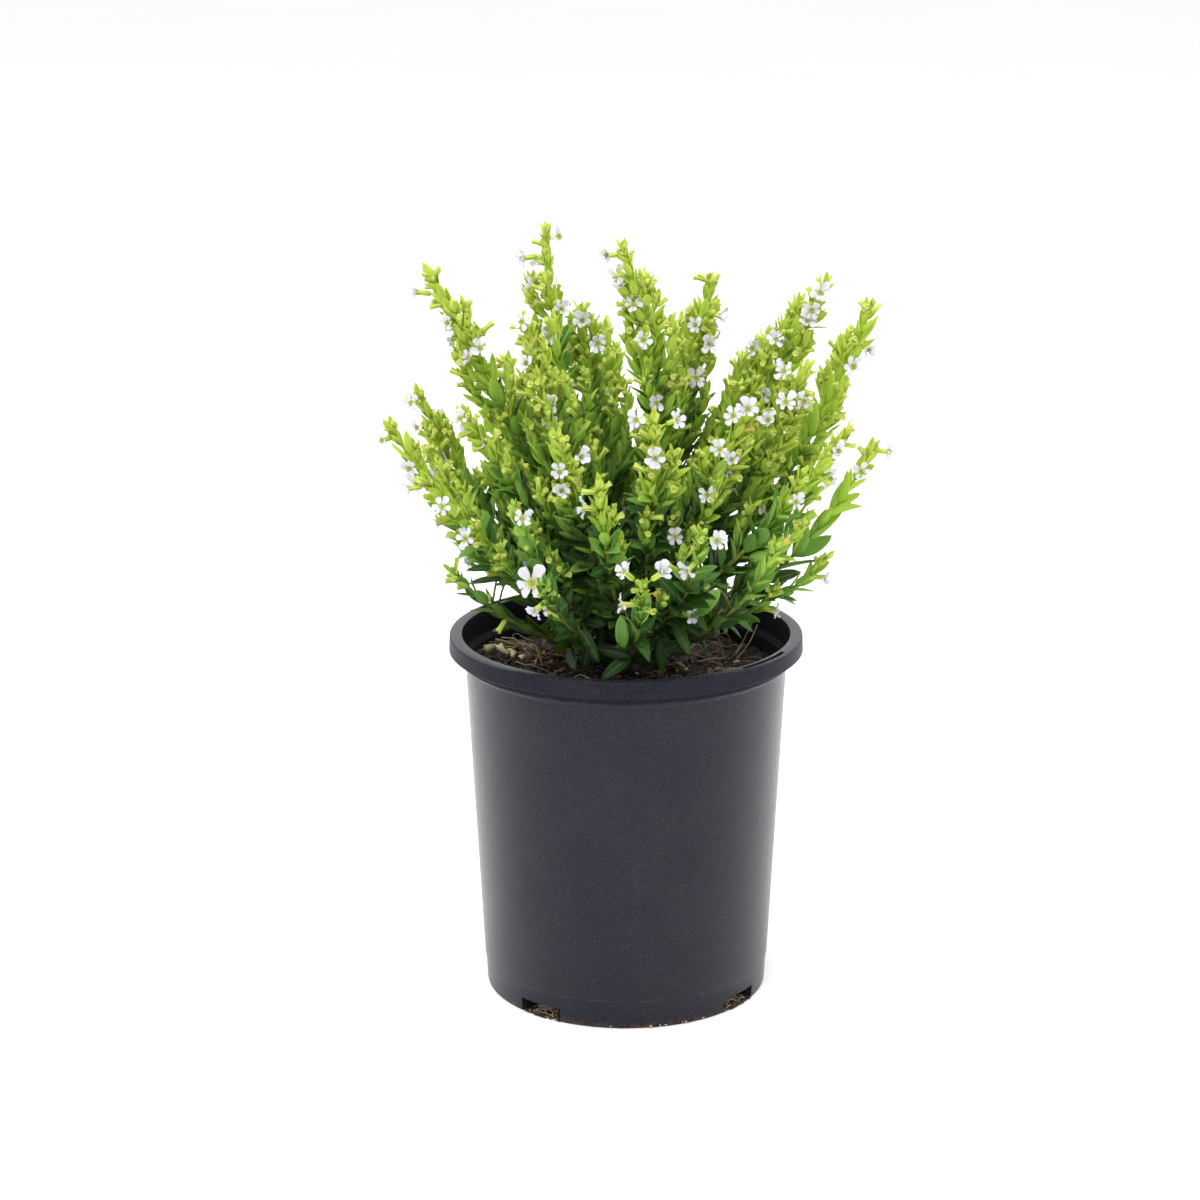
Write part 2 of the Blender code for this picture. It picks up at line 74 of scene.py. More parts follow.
class Value:
    """A shader socket that takes part in Python expressions."""

    def __init__(self, finish, socket):
        self.finish = finish
        self.socket = socket

    def math(self, operation, *others):
        inputs = dict(enumerate((self, *others)))
        return self.finish.node("Math", {"operation": operation}, inputs)

    def __add__(self, other):
        return self.math("ADD", other)

    __radd__ = __add__

    def __mul__(self, other):
        return self.math("MULTIPLY", other)

    __rmul__ = __mul__

    def __sub__(self, other):
        return self.math("SUBTRACT", other)

    def __rsub__(self, other):
        return self.finish.node("Math", {"operation": "SUBTRACT"}, {0: other, 1: self})

    def __pow__(self, other):
        return self.math("POWER", other)

    def above(self, level, softness):
        """0 below a level and 1 above it, with a soft step."""
        return self.finish.node(
            "MapRange", {"interpolation_type": "SMOOTHSTEP"},
            {0: self, 1: level - softness, 2: level + softness, 3: 0.0, 4: 1.0})


class Finish:
    """One material, made from nodes round a Principled shader."""

    def __init__(self, name, **constants):
        self.material = bpy.data.materials.new(name)
        self.material.use_nodes = True
        self.tree = self.material.node_tree
        self.shader = self.tree.nodes["Principled BSDF"]
        for label, value in constants.items():
            self.shader.inputs[label.replace("_", " ")].default_value = value

    def feed(self, socket, value):
        if isinstance(value, Value):
            self.tree.links.new(value.socket, socket)
        elif isinstance(value, tuple) and socket.type == "RGBA":
            socket.default_value = (*value, 1.0)
        else:
            socket.default_value = value

    def node(self, kind, settings=None, inputs=None, output=0):
        made = self.tree.nodes.new("ShaderNode" + kind)
        for key, value in (settings or {}).items():
            if key == "stops":
                ramp = made.color_ramp
                while len(ramp.elements) < len(value):
                    ramp.elements.new(1.0)
                for element, (place, colour) in zip(ramp.elements, value):
                    element.position = place
                    element.color = (*colour, 1.0)
            else:
                setattr(made, key, value)
        for key, value in (inputs or {}).items():
            self.feed(made.inputs[key], value)
        return Value(self, made.outputs[output])

    def set(self, **links):
        for label, value in links.items():
            self.feed(self.shader.inputs[label.replace("_", " ")], value)
        return self

    def point_values(self, *names):
        return [self.node("Attribute", {"attribute_name": name}, output=2) for name in names]

    def place(self):
        return self.node("TexCoord", output=3)

    def height(self):
        return self.node("SeparateXYZ", None, {0: self.place()}, output=2)

    def grain(self, scale, detail=3.0, stretch=(1.0, 1.0, 1.0), roughness=0.55):
        """Noise of a given number of waves per metre."""
        place = self.node("VectorMath", {"operation": "MULTIPLY"}, {0: self.place(), 1: stretch})
        return self.node("TexNoise", None,
                         {"Vector": place, "Scale": scale, "Detail": detail, "Roughness": roughness})

    def cells(self, scale):
        return self.node("TexVoronoi", None, {"Vector": self.place(), "Scale": scale})

    def ramp(self, factor, *stops):
        return self.node("ValToRGB", {"stops": stops}, {0: factor})

    def mix(self, factor, first, second, blend="MIX"):
        settings = {"data_type": "RGBA", "blend_type": blend, "clamp_factor": True}
        return self.node("Mix", settings, {0: factor, 6: first, 7: second}, output=2)

    def bump(self, height, distance, strength=1.0, below=None):
        inputs = {"Height": height, "Distance": distance, "Strength": strength}
        if below is not None:
            inputs["Normal"] = below
        return self.node("Bump", None, inputs)

    def see_through(self, colour, share):
        """Lets a share of the light through, tinted."""
        glow = self.node("BsdfTranslucent", None, {"Color": colour})
        both = self.node("MixShader", None, {0: share, 1: Value(self, self.shader.outputs[0]), 2: glow})
        self.tree.links.new(both.socket, self.tree.nodes["Material Output"].inputs["Surface"])
        return self


def srgb(red, green, blue):
    """A colour given in 0 to 255 display steps, as the linear values that shaders take."""
    def linear(step):
        share = step / 255
        return share / 12.92 if share <= 0.04045 else ((share + 0.055) / 1.055) ** 2.4
    return tuple(linear(step) for step in (red, green, blue))


def leaf_finish():
    leaf = Finish("waxy_leaf", Roughness=0.45, Specular_IOR_Level=0.36)
    age, tone, along, across, under = leaf.point_values("age", "tone", "along", "across", "under")
    mottle = leaf.grain(900, 4)
    # The blade darkens with age and with painted shade deep inside and low in the plant.
    shade = age + (tone - 0.5) * 0.16 + (mottle - 0.5) * 0.10
    blade = leaf.ramp(
        shade,
        (0.00, srgb(228, 238, 98)), (0.14, srgb(214, 232, 86)), (0.30, srgb(198, 228, 82)),
        (0.50, srgb(176, 214, 90)), (0.72, srgb(116, 164, 78)), (0.88, srgb(38, 80, 40)),
        (1.00, srgb(14, 38, 23)))
    rib = 1 - (across * across).above(0.012, 0.012)
    veins = (along * 46 + (across * across) ** 0.5 * 9).math("SINE").above(0.86, 0.12)
    blade = leaf.mix(rib * 0.3, blade, srgb(170, 200, 60))
    blade = leaf.mix(veins * 0.1, blade, srgb(150, 190, 60))
    blade = leaf.mix(under * 0.26, blade, srgb(140, 176, 76))
    blade = leaf.mix((1 - along).above(0.93, 0.06) * 0.3, blade, srgb(190, 206, 80))
    worn = (leaf.grain(260, 2) * 0.5 + along * 0.55).above(0.86, 0.03) * tone.above(0.8, 0.06)
    blade = leaf.mix(worn * 0.6, blade, srgb(170, 150, 70))
    relief = leaf.bump(veins * 0.5 + rib + mottle * 0.4, 0.00012)
    leaf.set(Base_Color=blade, Normal=relief, Roughness=0.44 + mottle * 0.14 + under * 0.2)
    return leaf.see_through(srgb(176, 216, 76), 0.28)


def stem_finish():
    stem = Finish("green_stem", Roughness=0.6)
    age, tone = stem.point_values("age", "tone")
    streak = stem.grain(1400, 3, (1.0, 1.0, 0.18))
    # The bark darkens with age and with painted shade.
    bark = stem.ramp(
        age + (streak - 0.5) * 0.2,
        (0.0, srgb(186, 206, 60)), (0.35, srgb(132, 166, 44)), (0.62, srgb(98, 116, 44)),
        (0.85, srgb(80, 74, 40)), (1.0, srgb(66, 54, 38)))
    bark = stem.mix(tone * 0.18, bark, srgb(150, 110, 70))
    stem.set(Base_Color=bark, Normal=stem.bump(streak, 0.0002))
    return stem


def calyx_finish():
    calyx = Finish("pale_calyx", Roughness=0.5)
    age, tone, along, across = calyx.point_values("age", "tone", "along", "across")
    skin = calyx.ramp(along, (0.0, srgb(164, 200, 58)), (0.35, srgb(196, 218, 84)),
                      (0.8, srgb(216, 228, 108)), (1.0, srgb(228, 232, 124)))
    ribs = (across * 37.7).math("COSINE").above(0.3, 0.4)
    skin = calyx.mix(ribs * 0.3, skin, srgb(150, 188, 66))
    # Painted shade: tubes and buds on shaded shoots are mixed towards a darker green.
    skin = calyx.mix(age, skin, srgb(150, 190, 62))
    dry = tone.above(0.975, 0.01)
    skin = calyx.mix(dry * 0.75, skin, srgb(214, 168, 84))
    fuzz = calyx.grain(3000, 2)
    calyx.set(Base_Color=skin, Normal=calyx.bump(ribs + fuzz * 0.4, 0.0001))
    return calyx.see_through(srgb(222, 236, 116), 0.28)


def petal_finish():
    petal = Finish("white_petal", Roughness=0.55)
    tone, along, across = petal.point_values("tone", "along", "across")
    crease = petal.grain(1500, 3)
    white = petal.ramp(along, (0.0, srgb(196, 214, 130)), (0.2, srgb(224, 229, 200)),
                       (0.42, srgb(236, 236, 240)), (1.0, srgb(242, 241, 247)))
    # Painted shade in the creases: low spots of the crease noise are mixed towards grey-lilac.
    white = petal.mix((1 - crease).above(0.55, 0.2) * 0.45, white, srgb(204, 202, 218))
    white = petal.mix((1 - across * across).above(0.97, 0.03) * 0.3, white, srgb(206, 206, 218))
    white = petal.mix(tone * 0.2, white, srgb(206, 202, 220))
    petal.set(Base_Color=white, Normal=petal.bump(crease, 0.0003))
    return petal.see_through(srgb(250, 250, 252), 0.3)


def anther_finish():
    anther = Finish("anther", Roughness=0.7)
    dust = anther.grain(5000, 2)
    anther.set(Base_Color=anther.ramp(dust, (0.3, srgb(96, 84, 60)), (0.7, srgb(170, 160, 84))),
               Normal=anther.bump(dust, 0.0001))
    return anther


def plastic_finish(name, gloss, dull, speckle):
    """Speckled black plastic: how much it shines, how dull it is, and how strong its speckles are."""
    plastic = Finish(name, Roughness=0.36, Specular_IOR_Level=gloss)
    fine = plastic.grain(2600, 4)
    cloud = plastic.grain(45, 4)
    drag = plastic.grain(700, 3, (1.0, 1.0, 0.05))
    blotch = plastic.grain(330, 5, roughness=0.7)
    rub = plastic.grain(160, 6, (1.0, 1.0, 0.3), 0.7).above(0.66, 0.05)
    hue = plastic.ramp(cloud, (0.3, srgb(15, 16, 25)), (0.5, srgb(20, 20, 30)),
                       (0.62, srgb(28, 23, 31)), (0.75, srgb(18, 20, 32)))
    hue = plastic.mix((fine - 0.42) * speckle, hue, srgb(76, 76, 90))
    hue = plastic.mix((0.36 - fine) * 5, hue, srgb(6, 6, 8))
    hue = plastic.mix((blotch - 0.5) * 2.4, hue, srgb(36, 34, 50))
    hue = plastic.mix((0.42 - blotch) * 2.0, hue, srgb(34, 35, 28))
    hue = plastic.mix(rub * 0.04, hue, srgb(110, 110, 116))
    foot = (1 - plastic.height().above(0.002, 0.0016)) * plastic.grain(600, 3).above(0.5, 0.1)
    hue = plastic.mix(foot * 0.8, hue, srgb(74, 58, 44))
    dust = plastic.cells(420).math("LESS_THAN", 0.09) * plastic.grain(70, 2).above(0.62, 0.03)
    hue = plastic.mix(dust * 0.35, hue, srgb(120, 116, 110))
    seam = (plastic.height() - SEAM_HEIGHT) ** 2 * 4e6
    seam = (1 - seam).above(0.5, 0.5) * plastic.grain(90, 2).above(0.45, 0.15)
    hue = plastic.mix(seam * 0.14, hue, srgb(90, 90, 100))
    rough = dull + cloud * 0.1 + fine * 0.08 + rub * 0.1
    relief = plastic.bump(drag, 0.00003, 0.4)
    relief = plastic.bump(fine, 0.00010, 0.8, relief)
    plastic.set(Base_Color=hue, Roughness=rough, Normal=relief)
    return plastic


def stained_and_shaded_plastic_finish():
    """The pot's inner wall, dull with damp dust from the mix, and painted darker than the outside as painted
    shade inside the pot.
    """
    plastic = Finish("stained_and_shaded_plastic", Roughness=0.75, Specular_IOR_Level=0.08)
    splash = plastic.grain(260, 5, (1.0, 1.0, 0.5), 0.65)
    hue = plastic.ramp(splash, (0.35, srgb(12, 12, 19)), (0.58, srgb(20, 20, 28)),
                       (0.74, srgb(48, 42, 38)))
    plastic.set(Base_Color=hue, Roughness=0.6 + splash * 0.3, Normal=plastic.bump(splash, 0.0002))
    return plastic


def mix_finish():
    earth = Finish("damp_potting_mix", Roughness=0.9)
    lumps = earth.grain(420, 6, roughness=0.65)
    crumbs = earth.cells(900)
    soil = earth.ramp(lumps, (0.28, srgb(12, 8, 9)), (0.45, srgb(26, 18, 16)),
                      (0.6, srgb(46, 31, 25)), (0.74, srgb(84, 56, 42)))
    soil = earth.mix(earth.grain(120, 3).above(0.6, 0.08) * 0.4, soil, srgb(74, 44, 32))
    wet = earth.grain(200, 2).above(0.6, 0.1)
    relief = earth.bump(lumps + crumbs * 0.5, 0.0012)
    earth.set(Base_Color=soil, Roughness=0.95 - wet * 0.35, Normal=relief)
    return earth


def crumb_finish(name, dark, middle, pale, scale, depth):
    """Torn bark, wood and stone: one tone for each piece, with its own grain."""
    crumb = Finish(name, Roughness=0.88)
    tone, = crumb.point_values("tone")
    grain = crumb.grain(scale, 4, (1.0, 0.5, 0.6))
    colour = crumb.ramp(tone * 0.7 + grain * 0.4, (0.2, dark), (0.55, middle), (0.9, pale))
    crumb.set(Base_Color=colour, Normal=crumb.bump(grain, depth))
    return crumb


def woody_finish():
    wood = Finish("crown_bark", Roughness=0.85)
    fibre = wood.grain(700, 5, (1.0, 1.0, 0.14), 0.65)
    flakes = wood.cells(330)
    bark = wood.ramp(fibre * 0.7 + flakes * 0.3, (0.2, srgb(46, 34, 28)), (0.5, srgb(92, 68, 50)),
                     (0.8, srgb(150, 122, 92)))
    wood.set(Base_Color=bark, Normal=wood.bump(fibre + flakes * 0.4, 0.0006))
    return wood


# ---------------------------------------------------------------- shapes

def unit(vectors):
    vectors = np.asarray(vectors, float)
    return vectors / np.maximum(1e-12, np.linalg.norm(vectors, axis=-1, keepdims=True))


def square_to(direction, hint):
    """The hint, made square to a direction."""
    rest = hint - direction * np.sum(direction * hint, axis=-1, keepdims=True)
    return unit(rest)


def axes_round(along):
    """Two directions square to this one and to each other."""
    first = square_to(along, UP if abs(along[2]) < 0.9 else np.array((1.0, 0.0, 0.0)))
    return first, np.cross(along, first)


def turned_out(axes, turn):
    """The direction at a turn from the first of two axes towards the second."""
    return cos(turn) * axes[0] + sin(turn) * axes[1]


def leaning(along, out, spread):
    """A direction that leans out from a stem, and where its upper side faces."""
    return out * sin(spread) + along * cos(spread), along * sin(spread) - out * cos(spread)


def rotated(first, second, angle):
    """Two coordinates of the same points, turned by an angle."""
    return (first * np.cos(angle) - second * np.sin(angle),
            first * np.sin(angle) + second * np.cos(angle))


def set_out(start, *parts):
    """Points of each shape: its start, and a distance along each of its axes."""
    points = start[:, None, None]
    for distance, axis in parts:
        points = points + distance[..., None] * axis[:, None, None]
    return points


def round_axis(radius, turn, height):
    """Points at distances and turns round the pot's axis."""
    return np.stack(np.broadcast_arrays(radius * np.cos(turn), radius * np.sin(turn), height), axis=-1)


def spot_round(radius, turn, height):
    """The same for one point."""
    return np.array((radius * cos(turn), radius * sin(turn), height))


def stack_faces(rings, corners):
    """Quads of a stack of rings, with both ends closed."""
    i, j = np.meshgrid(np.arange(rings - 1), np.arange(corners), indexing="ij")
    after = (j + 1) % corners
    sides = np.stack([i * corners + j, i * corners + after,
                      (i + 1) * corners + after, (i + 1) * corners + j], axis=-1).reshape(-1, 4)
    k = np.arange(corners // 2 - 1)
    first = np.stack([corners - 1 - k, corners - 2 - k, k + 1, k], axis=-1)
    last = first[:, ::-1] + (rings - 1) * corners
    return np.concatenate([sides, first, last])


def volume_of(points, faces):
    corner = points[faces]
    flat = corner.reshape(-1, 4, 3)
    first = np.einsum("ij,ij->i", flat[:, 0], np.cross(flat[:, 1], flat[:, 2]))
    second = np.einsum("ij,ij->i", flat[:, 0], np.cross(flat[:, 2], flat[:, 3]))
    return (first + second).sum() / 6


class Bundle:
    """Many closed shapes that become one piece."""

    def __init__(self):
        self.points, self.faces, self.finishes = [], [], []
        self.values = {key: [] for key in POINT_VALUES}
        self.total = 0

    def add(self, points, finish, **values):
        """points is (shapes, rings, corners, 3). A row of values holds one for each shape."""
        shapes, rings, corners, _ = points.shape
        faces = stack_faces(rings, corners)
        if volume_of(points[0].reshape(-1, 3) - points[0].mean((0, 1)), faces) < 0:
            faces = faces[:, ::-1]
        size = rings * corners
        starts = self.total + np.arange(shapes)[:, None, None] * size
        self.faces.append((faces[None] + starts).reshape(-1, 4))
        self.finishes.append(np.full(shapes * len(faces), finish, np.int32))
        self.points.append(points.reshape(-1, 3))
        for key in POINT_VALUES:
            value = np.asarray(values.get(key, 0.0))
            value = value[:, None, None] if value.ndim == 1 else value
            self.values[key].append(np.broadcast_to(value, (shapes, rings, corners)).reshape(-1))
        self.total += shapes * size

    def piece(self, name, finishes, flat=False):
        points = np.concatenate(self.points).astype(np.float32)
        faces = np.concatenate(self.faces).astype(np.int32)
        mesh = bpy.data.meshes.new(name)
        mesh.vertices.add(len(points))
        mesh.vertices.foreach_set("co", points.ravel())
        mesh.loops.add(faces.size)
        mesh.loops.foreach_set("vertex_index", faces.ravel())
        mesh.polygons.add(len(faces))
        mesh.polygons.foreach_set("loop_start", np.arange(0, faces.size, 4, dtype=np.int32))
        mesh.polygons.foreach_set("material_index", np.concatenate(self.finishes))
        mesh.update(calc_edges=True)
        for key, parts in self.values.items():
            made = mesh.attributes.new(key, "FLOAT", "POINT")
            made.data.foreach_set("value", np.concatenate(parts).astype(np.float32))
        for finish in finishes:
            mesh.materials.append(finish.material)
        if not flat:
            mesh.shade_smooth()
        return new_object(name, mesh)


def new_object(name, data):
    made = bpy.data.objects.new(name, data)
    bpy.context.scene.collection.objects.link(made)
    return made


def settle(piece, slot, *nodes):
    """Gives a piece to the frame, in place of these nodes."""
    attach(piece, "root")
    if nodes:
        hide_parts(*nodes)
    return piece


def column(values, count):
    return np.broadcast_to(np.asarray(values, float), (count,))[:, None, None]


def blades(start, point, up, length, width, outline, bend=0.0, fold=0.0, twist=0.0, wave=0.0,
           waves=3.0, phase=0.0, thick=0.16 * MM, rib=0.12 * MM, rings=9, columns=5):
    """Many thin blades, such as leaves or petals: each starts at a point and runs along a direction
    with its upper side towards up. Returns their points and the values of a blade."""
    start, point = np.atleast_2d(start), unit(np.atleast_2d(point))
    count = len(start)
    up = square_to(point, np.atleast_2d(up))
    side = np.cross(up, point)
    along = np.linspace(0, 1, rings)[None, :, None] ** 0.9
    over = np.linspace(-1, 1, columns)
    across = np.concatenate([over, over[::-1]])[None, None, :]
    upper = np.repeat([1.0, -1.0], columns)[None, None, :]
    length, width, bend = column(length, count), column(width, count), column(bend, count)
    fold, twist, wave = column(fold, count), column(twist, count), column(wave, count)
    phase = column(phase, count)
    half = width / 2 * outline(along)
    y = half * across
    ruffle = wave * np.sin(2 * pi * waves * along + phase + 1.3 * np.sign(across))
    z = fold * np.abs(y) + ruffle * half * across ** 2
    z = z + upper * thick / 2 * (1 - 0.55 * across ** 2) * (0.35 + 0.65 * outline(along))
    z = z - (upper < 0) * rib * (np.abs(across) < 0.01) * (1 - along)
    turn = twist * along
    y, z = rotated(y, z, turn)
    bend = np.where(np.abs(bend) < 1e-3, 1e-3, bend)
    angle = bend * along
    x = length * np.sin(angle) / bend + z * np.sin(angle)
    z = -length * (1 - np.cos(angle)) / bend + z * np.cos(angle)
    points = set_out(start, (x, point), (y, side), (z, up))
    return points, {"along": along, "across": across, "under": upper < 0}


def turned(start, point, profile, corners, swell=None, scale=1.0, bend=0.0):
    """Many turned shapes, such as tubes and buds: profile is rows of (distance, radius)."""
    start, point = np.atleast_2d(start), unit(np.atleast_2d(point))
    count = len(start)
    hint = np.where(np.abs(point[:, 2:]) > 0.9, (1.0, 0.0, 0.0), UP)
    up = square_to(point, hint)
    side = np.cross(up, point)
    profile = np.asarray(profile, float)
    turn = np.arange(corners) * 2 * pi / corners
    far = np.broadcast_to(profile[:, 0][None, :, None], (count, len(profile), corners))
    radius = np.broadcast_to(profile[:, 1][None, :, None], far.shape)
    if swell is not None:
        far, radius = swell(far, radius, turn[None, None, :])
    scale, bend = column(scale, count), column(bend, count)
    far, radius = far * scale, radius * scale
    x, y = far, radius * np.cos(turn)
    z = radius * np.sin(turn) + bend * far ** 2
    points = set_out(start, (x, point), (y, side), (z, up))
    top = profile[:, 0].max()
    values = {"along": (profile[:, 0] / top)[None, :, None], "across": (turn / (2 * pi))[None, None]}
    return points, values


def tube(line, radii, corners=8):
    """A stem along a line of points."""
    line = np.asarray(line, float)
    step = unit(np.gradient(line, axis=0))
    hint = np.array((1.0, 0.0, 0.0)) if abs(step[0][0]) < 0.8 else np.array((0.0, 1.0, 0.0))
    up = square_to(step, hint)
    side = np.cross(up, step)
    turn = np.arange(corners) * 2 * pi / corners
    ring = (np.cos(turn)[None, :, None] * up[:, None] + np.sin(turn)[None, :, None] * side[:, None])
    return (line[:, None] + ring * np.asarray(radii, float)[:, None, None])[None]


def bezier(start, bend, end, t):
    t = np.asarray(t, float)[..., None]
    return start * (1 - t) ** 2 + bend * (2 * t * (1 - t)) + end * t * t


# ---------------------------------------------------------------- the plant's parts

LEAF, STEM, CALYX, PETAL, ANTHER = range(5)


def leaf_outline(along):
    body = np.sin(pi * np.clip(along, 0, 1) ** 0.88) ** 0.62
    return np.maximum(body, 0.04 + 0.08 * (1 - along))


def petal_outline(along):
    return np.maximum(0.2, along ** 0.62 * (1 - np.clip(along, 0, 1) ** 6) ** 0.5)


TUBE_PROFILE = np.array([
    (0.0, 0.24), (0.8, 0.30), (1.1, 0.72), (1.8, 1.02), (3.2, 0.98), (4.8, 0.98), (6.0, 1.18),
    (6.6, 1.36), (6.65, 1.24), (6.35, 0.96), (6.2, 0.6), (6.15, 0.1)]) * MM
BUD_PROFILE = np.array([
    (0.0, 0.2), (0.5, 0.28), (0.8, 0.74), (1.5, 1.02), (2.4, 1.02), (3.2, 0.7), (3.6, 0.14)]) * MM
TUBE_LENGTH = 6.7 * MM
LEAF_WIDTH = (0.31, 0.43)    # as a share of its length
LEAF_BEND = (-0.45, 0.25)    # in radians from base to tip, down where above 0


def toothed(far, radius, turn):
    """Six ribs down the tube and six teeth round its mouth."""
    mouth = np.clip((far - 5.6 * MM) / (1.1 * MM), 0, 1)
    lobe = np.cos(6 * turn)
    return far + mouth * lobe * 0.28 * MM, radius * (1 + 0.05 * lobe)


class Growth:
    """Everything that one shoot carries, gathered before its mesh is made."""

    def __init__(self, seed, shaded=0.0):
        self.random = np.random.default_rng(seed)
        self.shaded = shaded
        self.leaves, self.tubes, self.buds, self.flowers, self.stems = [], [], [], [], []

    def around(self, low, high):
        return self.random.uniform(low, high)

    def in_shade(self, age):
        return age + self.shaded * (1 - age)

    def leaf(self, start, point, up, length, age):
        if clear_of_pot(start, point, length):
            self.place_leaf(start, point, up, length, age)

    def place_leaf(self, start, point, up, length, age, bend=None, width=None):
        width = length * self.around(*LEAF_WIDTH) if width is None else width
        bend = self.around(*LEAF_BEND) if bend is None else bend
        self.leaves.append((start, point, up, length, width, bend, self.around(0.1, 0.55),
                            self.around(-0.35, 0.35), self.around(0, 0.1), self.around(0, 6.28),
                            self.in_shade(age), self.around(0, 1)))

    def calyx(self, start, point, scale):
        self.tubes.append((start, point, scale, self.around(-12, 18), self.in_shade(0.0), self.around(0, 1)))

    def bud(self, start, point, scale):
        self.buds.append((start, point, scale, 0.0, self.in_shade(0.0), self.around(0, 0.9)))

    def flower(self, start, point, scale):
        """A calyx with its open petals."""
        point = unit(point)
        self.tubes.append((start, point, scale, 0.0, 0.0, self.around(0, 0.9)))
        self.flowers.append((start + point * TUBE_LENGTH * scale * 0.93, point, scale))

    def stem(self, line, radii, age_start, age_end, corners=8):
        age = np.linspace(age_start, age_end, len(line))
        self.stems.append((line, radii, self.in_shade(age), corners))

    def bundle(self):
        made = Bundle()
        if self.leaves:
            start, point, up, length, width, bend, fold, twist, wave, phase, age, tone = map(
                np.array, zip(*self.leaves))
            points, values = blades(start, point, up, length, width, leaf_outline, bend, fold,
                                    twist, wave, 1.6, phase)
            made.add(points, LEAF, age=age, tone=tone, **values)
        for rows, profile, corners, swell in ((self.tubes, TUBE_PROFILE, 12, toothed),
                                              (self.buds, BUD_PROFILE, 8, None)):
            if rows:
                start, point, scale, bend, age, tone = map(np.array, zip(*rows))
                points, values = turned(start, point, profile, corners, swell, scale, bend)
                made.add(points, CALYX, age=age, tone=tone, **values)
        for line, radii, age, corners in self.stems:
            made.add(tube(line, radii, corners), STEM, age=age[None, :, None], tone=self.around(0, 1))
        for mouth, axis, scale in self.flowers:
            open_petals(made, self, mouth, axis, scale)
        return made


PETALS = 6
PETAL_LENGTH = 3.8 * MM
PETAL_WIDTH = 3.4 * MM
UPPER_PETAL, LOWER_PETAL = 1.14, 0.94
STAMENS = 5
ANTHER_PROFILE = np.array([(0, 0.05), (0.15, 0.16), (0.35, 0.16), (0.5, 0.04)]) * MM


def open_petals(made, growth, mouth, axis, scale):
    """Six crinkled petals round a tube's mouth, the two upper ones larger, with stamens inside."""
    hint = UP if abs(axis[2]) < 0.9 else np.array((0.0, -1.0, 0.0))
    top = square_to(axis, hint)
    side = np.cross(top, axis)
    turn = radians(30) + np.arange(PETALS) * 2 * pi / PETALS + growth.random.normal(0, 0.16, PETALS)
    out = np.cos(turn)[:, None] * top + np.sin(turn)[:, None] * side
    upper = np.cos(turn) > 0.5
    opening = growth.around(0.7, 1.3) + 0.4 * max(0.0, scale - 1.1)
    opening = (opening + growth.random.normal(0, 0.16, PETALS))[:, None]
    point = out * np.sin(opening) + axis * np.cos(opening)
    up = axis * np.sin(opening) - out * np.cos(opening)
    random = growth.random.uniform
    size = scale * np.where(upper, UPPER_PETAL, LOWER_PETAL) * random(0.78, 1.12, PETALS)
    points, values = blades(
        mouth + out * 0.55 * MM * scale, point, up, PETAL_LENGTH * size, PETAL_WIDTH * size,
        petal_outline, random(-0.5, 0.9, PETALS), random(-0.15, 0.4, PETALS), random(-0.7, 0.7, PETALS),
        random(0.15, 0.42, PETALS), 2.4, random(0, 6.28, PETALS), 0.1 * MM, 0.0, 9, 7)
    made.add(points, PETAL, tone=random(0, 1, PETALS), **values)
    for k in range(STAMENS):
        angle = 2 * pi * k / STAMENS + 0.4
        lean = axis + 0.22 * (np.cos(angle) * top + np.sin(angle) * side)
        foot = mouth - axis * 1.6 * MM
        tip = foot + unit(lean) * growth.around(2.2, 3.0) * MM * scale
        made.add(tube([foot, (foot + tip) / 2, tip], [0.06 * MM] * 3, 4), CALYX, along=1.0)
        points, values = turned(tip, lean, ANTHER_PROFILE, 6)
        made.add(points, ANTHER, **values)


# ---------------------------------------------------------------- the shoots

POT_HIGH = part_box("pot")[1]
MIX_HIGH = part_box("potting_mix")[1].z
RIM_RADIUS = 0.0700
RIM_INNER = 0.0650
BODY_INNER = 0.0618


def lowest_leaf(spot):
    """How low a leaf or a twig may hang: more and more above the mix as it nears the rim."""
    radius = np.hypot(spot[0], spot[1])
    return MIX_HIGH + 2 * MM + 0.42 * max(0.0, radius - 14 * MM)


def clear_of_pot(start, point, length):
    """True if a straight blade stays above the potting mix and the pot's rim."""
    return all(spot[2] > lowest_leaf(spot)
               for spot in (start + unit(point) * length * share for share in (0.35, 0.7, 1.0)))


